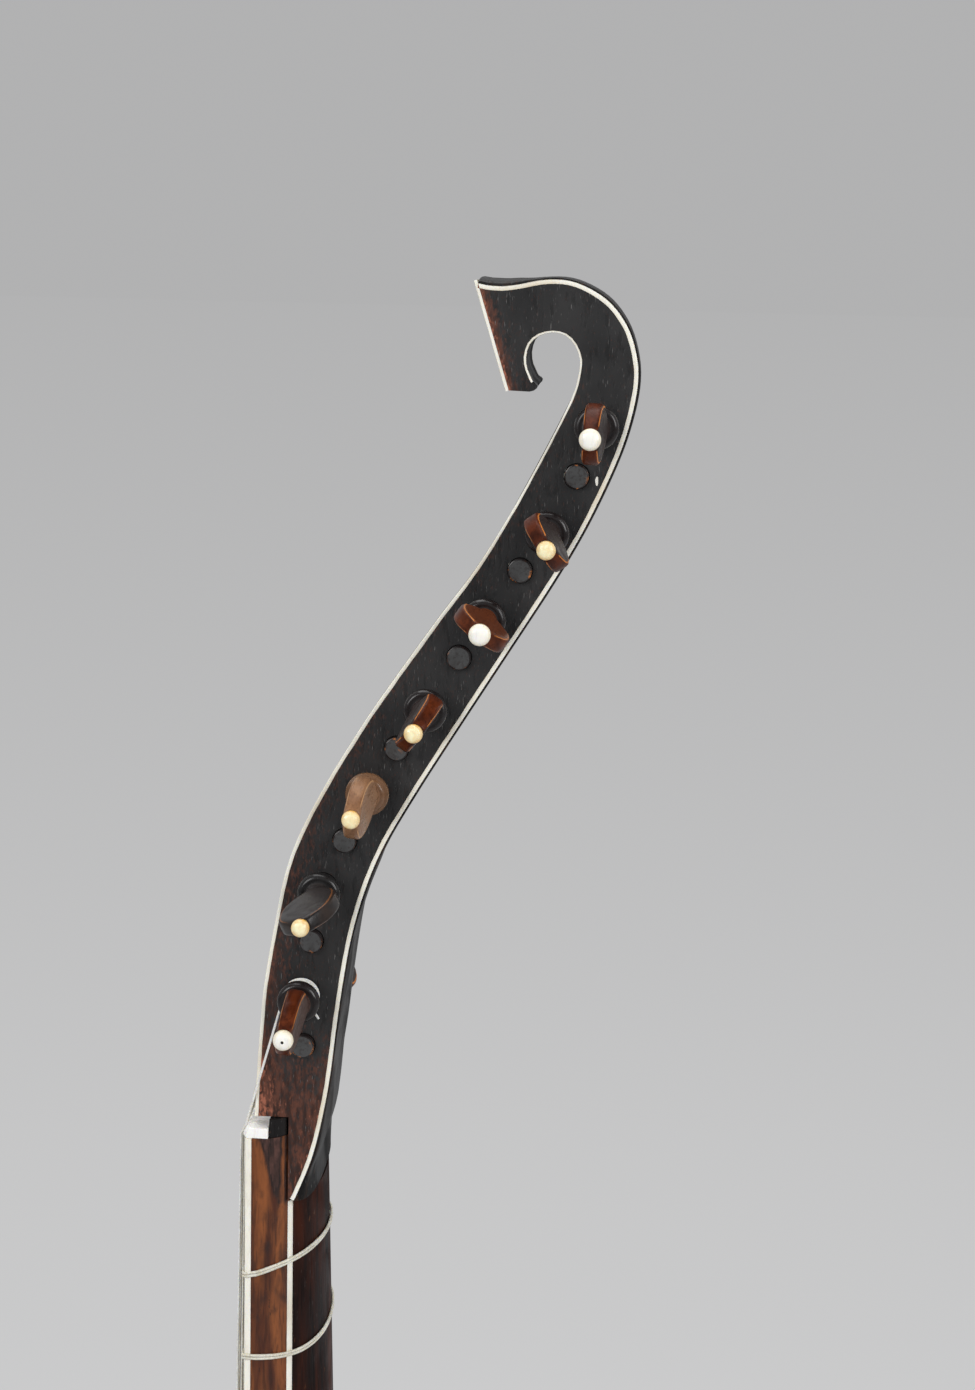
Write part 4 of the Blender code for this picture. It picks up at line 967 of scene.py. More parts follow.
@dataclass
class Pegbox:
    """The sickle: two cheeks with bone lines, the crowned back, the head and its plate."""

    half_width: float = 22.5
    lean: float = 0.03
    cheek_thickness: float = 3.4
    line_thickness: float = 1.2
    back_wall: float = 2.5
    back_lip: float = 0.3
    plate_thickness: float = 0.95
    cavity_top_h: float = 183.5
    cavity_foot_h: float = 1.5
    head_block_h: float = 186.2
    face_top_h: float = 206.85
    chip: Point = (82.8, 161.2, 1.15)
    crown_base: float = 0.06
    crown_gap: float = 0.09
    front_edge: Line = field(default_factory=lambda: [
        (1.9, 0.0), (1.95, 1.2), (2.4, 11.4), (3.1, 22.9), (3.9, 33.0), (5.2, 41.8), (7.1, 52.8),
        (9.4, 64.0), (13.1, 74.0), (19.6, 86.8), (25.2, 96.4), (31.7, 106.8), (45.5, 127.0),
        (54.6, 139.7), (62.9, 153.8), (70.5, 168.4), (76.1, 180.3), (77.6, 185.5), (77.9, 189.5),
        (76.6, 192.9), (74.3, 195.1), (71.3, 195.7), (68.2, 194.9), (66.0, 192.9), (65.2, 189.8),
        (65.6, 187.0), (66.6, 184.9), (67.0, 184.2)])
    head_end: Line = field(default_factory=lambda: [
        (67.7, 183.7), (68.1, 183.2), (67.9, 182.6), (67.2, 182.1), (66.2, 181.85), (64.6, 181.9)])
    head_face: Line = field(default_factory=lambda: [(60.4, 181.7), (52.3, 207.3)])
    back_edge: Line = field(default_factory=lambda: [
        (53.6, 206.75), (54.5, 206.6), (55.4, 206.4), (59.0, 206.2), (63.0, 206.7), (70.0, 208.0),
        (76.6, 207.4), (83.8, 203.7), (88.6, 198.0), (91.1, 191.5), (91.8, 184.5), (90.2, 175.0),
        (87.0, 165.0), (80.7, 150.7), (73.1, 136.8), (62.2, 119.0), (51.6, 101.8), (41.2, 84.6),
        (33.4, 70.5), (28.7, 58.5), (25.7, 47.0), (23.8, 35.5), (22.3, 24.0), (20.9, 11.5),
        (19.1, 0.5), (16.5, -10.5), (12.6, -20.8), (12.0, -22.0)])
    back_crowns: Line = field(default_factory=lambda: [
        (-22.3, 5.3), (-20.8, 4.4), (-14.6, 1.6), (-8.0, 1.9), (-2.0, 1.4), (4.4, 0.65),
        (45.0, 0.65), (62.0, 0.85), (180.0, 0.85), (195.0, 0.65)])
    front_widths: Line = field(default_factory=lambda: [(125.0, 0.9), (165.0, 0.5)])
    back_widths: Line = field(default_factory=lambda: [(0.0, 1.05)])
    bass_dip: Line = field(default_factory=lambda: [
        (52.0, 0.0), (80.0, 1.2), (128.0, 1.4), (158.0, 0.0)])
    hollow: Line = field(default_factory=lambda: [
        (-16.0, 0.0), (-6.0, 0.9), (6.0, 1.5), (46.0, 1.3), (60.0, 0.0)])
    brow: Line = field(default_factory=lambda: [
        (54.0, 1.0), (58.0, 1.25), (62.5, 1.0), (67.0, 0.15), (70.0, 0.0)])

    def __post_init__(self) -> None:
        """Keep the lines that the wear is measured from."""
        self.rubbed_front = np.array(smooth(self.front_edge[:17], 3.0))
        self.rubbed_back = np.array(smooth(self.back_edge[9:], 3.0))

    def outer(self, h: float) -> float:
        """Half width at the cheeks' outer faces."""
        return self.half_width - self.lean * h

    def inner(self, h: float) -> float:
        """Half width at the cheeks' inner faces."""
        return self.outer(h) - self.cheek_thickness

    def rubbed(self, d: float, h: float) -> float:
        """How much a place on a cheek is worn: along the front edge and all over the foot.

        Args:
            d: its depth.
            h: its height.

        Returns:
            The wear, from 0 to 1.
        """
        front, back = (float(np.min(np.linalg.norm(line - (d, h), axis=1)))
                       for line in (self.rubbed_front, self.rubbed_back))
        low, foot = clamp((130.0 - h) / 90.0), clamp((26.0 - h) / 22.0)
        head = 0.0
        if h > 180.0 and d < 70.0:
            (d0, h0), (d1, h1) = self.head_face
            across = abs((d1 - d0) * (h - h0) - (h1 - h0) * (d - d0))
            away = max(0.0, across / math.hypot(d1 - d0, h1 - h0) - self.plate_thickness)
            head = 1.2 * math.exp(-away / 1.1) + 0.16 * math.exp(-away / 5.0)
        return min(1.0, (0.35 + 0.40 * low) * math.exp(-front / (2.0 + 3.0 * low))
                   + (0.16 + 0.30 * foot) * math.exp(-back / 1.6) + 0.50 * foot + head)

    def face_seat(self) -> Line:
        """Line that the head plate lies on, cut off at the back's bone line.

        Returns:
            Its two ends.
        """
        low, high = moved(self.head_face, self.plate_thickness + 0.05)
        share = (self.face_top_h - low[1]) / (high[1] - low[1])
        return [low, (low[0] + share * (high[0] - low[0]), self.face_top_h)]

    def front(self, side: int) -> Line:
        """Front edge of a cheek; the bass one lies a little lower on the outside of the bend."""
        return self.front_edge if side > 0 else moved(self.front_edge, self.bass_dip)

    def rear(self, side: int) -> Line:
        """Back edge of a cheek; the bass one lies a little lower in the hollow of the bend."""
        return self.back_edge if side > 0 else moved(self.back_edge, self.hollow)

    def cheek(self, side: int, name: str, holes: list[Line]) -> None:
        """One cheek, with a ledge round its edge for the bone lines.

        Args:
            side: 1 for treble and -1 for bass.
            name: the node and piece's name.
            holes: loops of the peg holes.
        """
        def at(amount: float) -> Put:
            """What places points at a depth in the cheek."""
            return lambda d, h: place(side * (self.outer(h) - amount), d, h)

        front, back, face = smooth(self.front(side)), smooth(self.rear(side)), self.face_seat()
        tongue = [(SPLICE_DEPTH + GAP, SPLICE_H + GAP), (SPLICE_DEPTH + GAP, 0.0)]
        full = front + self.head_end + face + back + tongue
        narrow = (moved(front, self.front_widths, 0.04) + self.head_end + face
                  + moved(back, self.back_widths, 0.04) + tongue)
        outer, sunk, inner = (at(depth) for depth in (0.0, self.line_thickness + 0.05,
                                                      self.cheek_thickness))
        shape = Shape()
        flat, faces = triangulate(narrow, holes, 1.5)
        shape.add([outer(*p) for p in flat], faces, [self.rubbed(*p) for p in flat])
        flat, faces = triangulate(full, holes)
        shape.add([inner(*p) for p in flat], faces)
        shape.wall([(narrow, outer), (narrow, sunk), (full, sunk), (full, inner)], self.rubbed)
        for hole in holes:
            shape.wall([(hole, outer), (hole, inner)])
        if side > 0:
            d, h, reach = self.chip
            chip = [(d + 0.36 * math.sin(0.7 * k) * (1.0 + 0.2 * math.sin(2.0 * k)),
                     h + reach * math.cos(0.7 * k)) for k in range(9)]
            shape.plate(chip, [], at(-PLAY), at(0.3), slot=1)
        shape.build(name, "ebony", "ebonised_cheek", "bone", angle=30.0)

    def edge_line(self, side: int, name: str, edge: Line, widths: Line) -> None:
        """A bone strip with a softened outer corner along one edge of a cheek.

        Args:
            side: 1 for treble and -1 for bass.
            name: the node and piece's name.
            edge: the cheek's edge.
            widths: the strip's width by height.
        """
        curve = smooth(edge)
        thick, soft = self.line_thickness, 0.2
        rows, wear = [], []
        for k, ((d, h), normal) in enumerate(zip(curve, right_normals(curve))):
            width = interp(widths, h) + 0.05 * math.sin(0.9 * h) * math.sin(0.37 * h + 1.0)
            profile = [(0.0, thick), (0.0, soft), (0.3 * soft, 0.3 * soft), (soft, 0.0), (width, 0.0),
                       (width, thick)]
            rows.append([place(side * (self.outer(h) - depth), d + across * normal[0],
                               h + across * normal[1]) for across, depth in profile])
            stain = 0.30 * max(0.0, math.sin(0.21 * k) * math.sin(0.083 * k + 0.6)) ** 2
            wear.append([0.5, 0.45 + stain, 0.15 + stain, stain, 0.30 + stain, 0.6])
        shape = Shape()
        shape.skin(rows, wear)
        shape.build(name, "bone", "bone", angle=50.0)

    def back(self) -> None:
        """The back, with lips over the cheeks and a rounded crown."""
        curve = smooth(self.back_edge)
        rows, wear, tones = [], [], []
        steps, base = 28, self.crown_base
        for (d, h), inward in zip(curve, right_normals(curve)):
            level_out = np.array((1.0, 0.0))
            outward = -inward if h >= self.cavity_foot_h else level_out
            blend = clamp((self.cavity_foot_h + 10.0 - h) / 10.0)
            outward = outward * (1.0 - blend) + level_out * blend
            outward /= np.linalg.norm(outward)
            wall = self.back_wall
            if h > self.cavity_top_h + 2.0:
                wall = -0.2
            elif h < self.cavity_foot_h:
                wall = max(d - SPLICE_DEPTH - GAP, 0.9)
            crown = interp(self.back_crowns, h) + (interp(self.brow, d) if h > 200.0 else 0.0)
            outer, inner = self.outer(h) - PLAY, self.inner(h) - GAP
            points = [(-outer, base), (-inner, base), (-inner, -wall), (inner, -wall),
                      (inner, base), (outer, base)]
            bulge = crown - self.crown_gap - base - self.back_lip
            for k in range(steps + 1):
                cosine, sine = math.cos(math.pi * k / steps), math.sin(math.pi * k / steps)
                points.append((outer * math.copysign(abs(cosine) ** 0.75, cosine),
                               base + self.back_lip + bulge * sine ** 0.8))
            sunk = interp(self.hollow, h)
            points = [(x, out - sunk * (0.5 - 0.5 * x / outer)) for x, out in points]
            rows.append([place(x, d + out * outward[0], h + out * outward[1]) for x, out in points])
            wear.append([0.25 if abs(x) > 0.9 * outer else 0.05 for x, _ in points])
            tones += [0.5 * clamp((h + 14.0) / 12.0)] * len(points)
        shape = Shape()
        shape.skin(rows, wear)
        shape.tones = [*tones[len(rows[0]):], 0.5, 0.0]
        shape.build("pegbox_back", "ebony", "dark_back", angle=32.0)

    def head_block(self) -> None:
        """The solid head between the cheeks."""
        front = smooth(self.front_edge)
        first = next(k for k, point in enumerate(front) if point[1] > self.head_block_h)
        back = [point for point in smooth(self.back_edge) if point[1] > self.head_block_h]
        outline = moved(front[first:] + self.head_end + self.face_seat() + back, 0.08)
        shape = Shape()
        shape.plate(outline, [], lambda d, h: place(self.inner(h) - PLAY, d, h),
                    lambda d, h: place(PLAY - self.inner(h), d, h))
        shape.build("head_block", "ebony", "dark_back", angle=30.0)

    def head_plate(self) -> None:
        """The bone plate on the head's front, with worn edges."""
        low, high = (np.array(point) for point in self.head_face)
        length = float(np.linalg.norm(high - low))
        run = (high - low) / length
        inward = np.array((run[1], -run[0]))
        columns, steps = 30, 40
        rows = []
        for k in range(steps + 1):
            along = length * k / steps
            at = low + run * along
            half = self.outer(float(at[1])) - PLAY
            row = []
            for j in range(columns + 1):
                across = half * (2.0 * j / columns - 1.0)
                edge = min(half - abs(across), along, length - along)
                sink = 0.25 * math.exp(-edge / 0.35) + 0.04 * math.sin(across * 0.7 + along * 0.4) ** 2
                row.append(place(across, *(at + inward * sink)))
            back = at + inward * self.plate_thickness
            rows.append([*row, place(half, *back), place(-half, *back)])
        shape = Shape()
        shape.skin(rows, 0.08)
        shape.build("head_plate", "bone", "bone", angle=40.0)

    def make(self, holes: dict[int, list[Line]]) -> None:
        """Build every piece of the pegbox.

        Args:
            holes: peg holes of the treble (1) and the bass (-1) cheek.
        """
        for side, word in ((1, "treble"), (-1, "bass")):
            self.cheek(side, f"cheek_{word}", holes[side])
            self.edge_line(side, f"front_line_{word}", self.front(side), self.front_widths)
            self.edge_line(side, f"back_line_{word}", self.rear(side), self.back_widths)
        self.back()
        self.head_block()
        self.head_plate()


# Pegs

class Pip(Enum):
    """Colour of the bone pip in a peg's end."""

    WHITE = "white_bone"
    YELLOW = "yellow_bone"


class PegKind(Enum):
    """Wood of a peg."""

    DARK = "peg_dark"
    RED = "peg_red"
    TAN = "peg_tan"
    BROWN = "peg_brown"
    GREY = "peg_grey_brown"


@dataclass(frozen=True)
class PegLook:
    """How one peg stands and what it is made of."""

    angle: float
    lean: Pair = (0.0, 0.0)
    kind: PegKind = PegKind.RED
    pip: Pip = Pip.YELLOW
    pip_radius: float = 2.3
    bored: bool = False


TREBLE_LOOKS = (
    PegLook(82.0, (-1.1, -0.15), PegKind.GREY, Pip.WHITE, 2.45, True),
    PegLook(22.0, (-1.4, -0.75), PegKind.DARK, Pip.YELLOW, 2.15),
    PegLook(84.0, (-0.3, 0.9), PegKind.TAN, Pip.YELLOW, 2.15),
    PegLook(55.0, (-0.65, 0.15), PegKind.RED, Pip.YELLOW, 2.2),
    PegLook(-35.0, (0.1, 0.9), PegKind.BROWN, Pip.WHITE, 2.55),
    PegLook(-55.0, (1.1, 0.15), PegKind.RED, Pip.YELLOW, 2.2),
    PegLook(88.0, (-0.9, 1.0), PegKind.RED, Pip.WHITE, 2.5))
BASS_LOOKS = tuple(PegLook(angle) for angle in (-50.0, 115.0, 30.0, 95.0, 150.0, 75.0, 10.0))


@dataclass
class Peg:
    """A turned peg with a flat blade and a pip, along its own axis."""

    name: str
    body: str
    side: int
    d: float
    h: float
    face: float
    look: PegLook
    collar_radius: float = 5.3
    tip_radius: float = 2.95
    taper: float = 0.016
    tip_overhang: float = 1.5
    collar_start: float = 4.9
    collar_length: float = 3.2
    blade_length: float = 22.0
    blade_half_width: float = 6.9
    blade_half_thickness: float = 2.7
    pip_length: float = 2.3
    sides: int = 48

    def tip(self) -> float:
        """Place of the peg's tip, measured from the cheek's outer face."""
        return -2.0 * self.face - self.tip_overhang

    def blade_start(self) -> float:
        """Place where the blade leaves the collar."""
        return self.collar_start + self.collar_length

    def shank(self, x: float) -> float:
        """Radius of the shank at a distance from the cheek's outer face."""
        return self.tip_radius + self.taper * (x - self.tip())

    def turned(self) -> Line:
        """Profile of the shank and collar.

        Returns:
            Its points as (place, radius).
        """
        tip, start, end = self.tip(), self.collar_start, self.blade_start()
        shank = [(tip, 0.88 * self.tip_radius), (tip + 0.12, 0.97 * self.tip_radius),
                 (tip + 0.35, self.shank(tip)), (0.0, self.shank(0.0)),
                 (start - 0.5, self.shank(start))]
        low = [(0.0, 0.82), (0.3, 0.95), (0.8, 1.0)]
        high = [(-0.75, 0.95), (-0.3, 0.88), (-0.12, 0.78), (-0.22, 0.72), (-0.05, 0.62), (0.1, 0.50)]
        if self.look.kind is PegKind.TAN:
            low.append((1.7, 1.0))
            high = [(-1.0, 0.97), (-0.8, 0.84), (-0.35, 0.80), (-0.1, 0.76), (0.0, 0.64), (0.1, 0.52)]
        else:
            low.append((1.9, 0.99))
        return (shank + [(start + x, share * self.collar_radius) for x, share in low]
                + [(end + x, share * self.collar_radius) for x, share in high])

    def blade(self) -> list[tuple[float, float, float, float]]:
        """Stations of the blade.

        Returns:
            Each one's place, half width, half thickness and squareness.
        """
        shares = ((0.05, 0.47, 1.12, 2.0), (0.10, 0.53, 1.08, 2.3), (0.16, 0.68, 1.04, 3.0),
                  (0.24, 0.86, 0.98, 4.0), (0.33, 0.96, 0.92, 5.0), (0.45, 1.0, 0.86, 6.0),
                  (0.58, 1.0, 0.82, 6.0), (0.70, 0.95, 0.79, 6.0), (0.80, 0.84, 0.77, 6.0),
                  (0.88, 0.67, 0.76, 5.0), (0.94, 0.50, 0.76, 4.0), (0.985, 0.38, 0.74, 3.0),
                  (1.0, 0.33, 0.70, 2.4))
        return [(self.blade_start() + a * self.blade_length, b * self.blade_half_width,
                 c * self.blade_half_thickness, power) for a, b, c, power in shares]

    def section(self, x: float, wide: float, thick: float, power: float = 2.0) -> list[Point]:
        """A closed section across the axis.

        Args:
            x: its distance from the cheek's outer face.
            wide: half its width.
            thick: half its thickness.
            power: 2 for round, more for squarer.

        Returns:
            Its points.
        """
        turn = math.radians(self.look.angle)
        leaned = clamp((x - self.blade_start()) / self.blade_length)
        row = []
        for u, v in around(1.0, self.sides, 0.0):
            one = math.copysign(abs(u) ** (2.0 / power), u) * wide + leaned * self.look.lean[0]
            two = math.copysign(abs(v) ** (2.0 / power), v) * thick + leaned * self.look.lean[1]
            row.append(place(self.side * (self.face + x),
                             self.d + one * math.cos(turn) - two * math.sin(turn),
                             self.h + one * math.sin(turn) + two * math.cos(turn)))
        return row

    def pip(self) -> None:
        """Build the bone pip in the blade's end."""
        stations = [(0.02, 0.80), (0.02, 0.97), (0.2, 1.0), (0.45, 0.99), (0.66, 0.93), (0.82, 0.80),
                    (0.93, 0.58), (0.985, 0.30), (1.0, 0.15 if self.look.bored else 0.10)]
        start, radius = self.blade_start() + self.blade_length, self.look.pip_radius
        rows = [self.section(start + a * self.pip_length, b * radius, b * radius)
                for a, b in stations]
        dome = Shape()
        dome.skin(rows, [[1.0 if b > 0.95 and a < 0.3 else max(0.0, b - 0.62) * 1.7] * self.sides
                         for a, b in stations], caps=False)
        dome.lid(rows[0], True)
        dome.lid(rows[-1], slot=int(self.look.bored))
        dome.build(f"{self.name}_pip", "bone", self.look.pip.value, "peg_dark", node=self.name,
                   body=self.body, angle=60.0)

    def make(self) -> None:
        """Build the peg and its pip."""
        rows, wear = [], []
        for x, radius in self.turned():
            rows.append(self.section(x, radius, radius))
            rim = 0.55 if x < self.tip() + 0.2 else 0.0
            wear.append([rim if x < 0.0 else 0.04] * self.sides)
        shape = Shape()
        shape.skin(rows[:-1], wear[:-1], tone=0.0, caps=False)
        shape.lid(rows[0], True, tone=-1.0)
        rows, wear = rows[-2:], wear[-2:]
        # the blade's corners get the edge colour: rubbed wood, and also a painted highlight along each
        # edge
        corners = [0.57 < abs(v) < 0.75 for _, v in around(1.0, self.sides, 0.0)]
        for station in self.blade():
            rows.append(self.section(*station))
            edge = 0.95 * clamp((station[3] - 2.4) / 2.0)
            wear.append([edge if corner else 0.0 for corner in corners])
        tones = [1.0 if abs(u) > abs(v) else 0.5 for u, v in around(1.0, self.sides)]
        shape.skin(rows, wear, tone=tones, caps=False)
        shape.lid(rows[-1])
        shape.build(self.name, "peg_wood", self.look.kind.value, body=self.body, angle=42.0)
        self.pip()


@dataclass
class PegSet:
    """All fourteen pegs, at the axes that the frame's joints give."""

    pegbox: Pegbox
    hole_clearance: float = 0.12

    def __post_init__(self) -> None:
        """Describe every peg."""
        self.pegs: list[Peg] = []
        joints = {joint["name"]: joint["pos_m"] for joint in frame["joints"]}
        for side, word, looks in ((1, "treble", TREBLE_LOOKS), (-1, "bass", BASS_LOOKS)):
            for number, look in enumerate(looks, 1):
                _, y, z = joints[f"turn_{word}_{number}"]
                h = z / MM - LAYOUT.foot_z
                self.pegs.append(Peg(f"peg_{word}_{number}", f"{word}_peg_{number}", side,
                                     y / MM - LAYOUT.face_y, h, self.pegbox.outer(h), look))

    def holes(self) -> dict[int, list[Line]]:
        """Holes of both cheeks, each a little larger than the shank that fills it.

        Returns:
            The loops of the treble (1) and the bass (-1) cheek.
        """
        loops: dict[int, list[Line]] = {1: [], -1: []}
        for side, made in loops.items():
            for peg in self.pegs:
                x = 0.0 if peg.side == side else -2.0 * peg.face + self.pegbox.cheek_thickness
                made.append(ring(peg.d, peg.h, peg.shank(x) + self.hole_clearance))
        return loops


# Strings and neck

@dataclass
class Strings:
    """Fourteen gut strings from the bridge over the nut to their pegs."""

    pegs: list[Peg]
    radius: float = 0.3
    proud_nut: float = 1.5
    proud_bridge: float = 6.5
    course_pitch: float = 6.3
    pair_spacing: float = 2.6
    first_x: float = 22.2
    bridge_pitch: float = 13.0
    bridge_pair: float = 4.5
    tie_radius: float = 0.62
    tie_pitch: float = 0.085
    outer_coil: Pair = (2.6, 2.73)
    inner_coil: Pair = (3.0, 1.26)
    outer_lift: float = 0.32
    samples: int = 72
    treble_x: tuple[float, ...] = (23.9, 13.5, 10.2, 7.3, 4.8, 2.5, 0.4)
    bass_x: tuple[float, ...] = (-15.8, -11.9, -9.1, -6.7, -4.8, -2.9, -1.2)

    def reach(self, peg: Peg) -> float:
        """Distance of a string's centre from the axis of a peg that it lies on."""
        return peg.shank(0.0) + self.radius + PLAY

    def route(self, peg: Peg) -> Line:
        """Tight path from the nut to the front of a peg, past the pegs below it.

        Args:
            peg: the peg.

        Returns:
            The path as (d, h).
        """
        target = ring(peg.d, peg.h, self.reach(peg), self.samples)
        others = [point for low in self.pegs if low.h < peg.h
                  for point in ring(low.d, low.h, self.reach(low), self.samples)]
        path = [(NUT_FALL - self.proud_nut, NUT_FRONT_H + NUT_THICKNESS)]
        while path[-1] not in target:
            d, h = path[-1]
            above = [point for point in others + target if point[1] > h]
            path.append(max(above, key=lambda point: math.atan2(point[1] - h, point[0] - d)))
        return path

    def one(self, number: int, nut_x: float, bridge_x: float, peg: Peg, coil_x: float,
            tree: Tree) -> None:
        """Make one string's free part and its coil.

        Args:
            number: the string, counted from the treble.
            nut_x: its place on the nut.
            bridge_x: its place on the bridge.
            peg: its peg.
            coil_x: middle of its coil.
            tree: the coil's geometry tree.
        """
        outside = number == 1
        turns, length = self.outer_coil if outside else self.inner_coil
        gut = "white_gut" if outside else "gut"
        inward = -peg.side if outside else peg.side
        flat = self.route(peg)
        start_x = coil_x - inward * 0.5 * length
        spans = [0.0]
        for one, two in zip(flat, flat[1:]):
            spans.append(spans[-1] + math.dist(one, two))
        low_h = NUT_FRONT_H - STRING_LENGTH
        points = [place(bridge_x + (nut_x - bridge_x) * share,
                        -self.proud_bridge + (self.proud_bridge - self.proud_nut) * share,
                        low_h + STRING_LENGTH * share) for share in (k / 12 for k in range(13))]
        points += [place(nut_x + (start_x - nut_x) * span / spans[-1], d, h)
                   for (d, h), span in zip(flat, spans)]
        shape = Shape()
        shape.tube(points, self.radius, 12)
        shape.tube([place(bridge_x + self.tie_radius * math.cos(0.5 * k),
                          -self.proud_bridge + self.tie_radius * math.sin(0.5 * k),
                          low_h + 0.5 + self.tie_pitch * k) for k in range(30)], 0.8 * self.radius, 8)
        if outside:
            shape.tube([place(coil_x + 0.6, peg.d + 2.7 + 1.9 * k / 6, peg.h - 2.4 - 2.9 * k / 6)
                        for k in range(7)], self.radius)
        name = f"string_{number}"
        shape.build(name, "gut", gut, angle=60.0)
        last_d, last_h = flat[-1]
        wound = self.reach(peg) + (self.outer_lift if outside else 0.0)
        coil = bake_nodes(f"{name}_coil", tree, {
            "Turns": turns, "Radius": wound * MM, "Length": length * MM, "Strand": self.radius * MM,
            "Start Angle": math.atan2(last_h - peg.h, last_d - peg.d) + math.pi / 2,
            "Centre": place(start_x if inward > 0 else start_x - length, peg.d, peg.h)}, gut)
        if inward < 0:
            middle = Matrix.Translation((2.0 * (start_x - 0.5 * length) * MM, 0.0, 0.0))
            coil.data.transform(middle @ Matrix.Scale(-1.0, 4, (1.0, 0.0, 0.0)))
            coil.data.flip_normals()
        settle(coil, ROOT, name)

    def make(self) -> None:
        """Make all the strings, the treble pegs' from below and the bass pegs' from above."""
        tree = coil_tree()
        count = len(self.treble_x)
        coils = [*self.treble_x, *reversed(self.bass_x)]
        pegs = self.pegs[:count] + self.pegs[:count - 1:-1]
        for index, (peg, coil_x) in enumerate(zip(pegs, coils)):
            course, second = divmod(index, 2)
            nut_x = self.first_x - self.course_pitch * course - self.pair_spacing * second
            bridge_x = (self.bridge_pitch * (0.5 * (count - 1) - course)
                        + self.bridge_pair * (0.5 - second))
            self.one(index + 1, nut_x, bridge_x, peg, coil_x, tree)


def both(side: Line) -> Line:
    """A whole section from its treble half."""
    return side + [(-x, d) for x, d in reversed(side)]


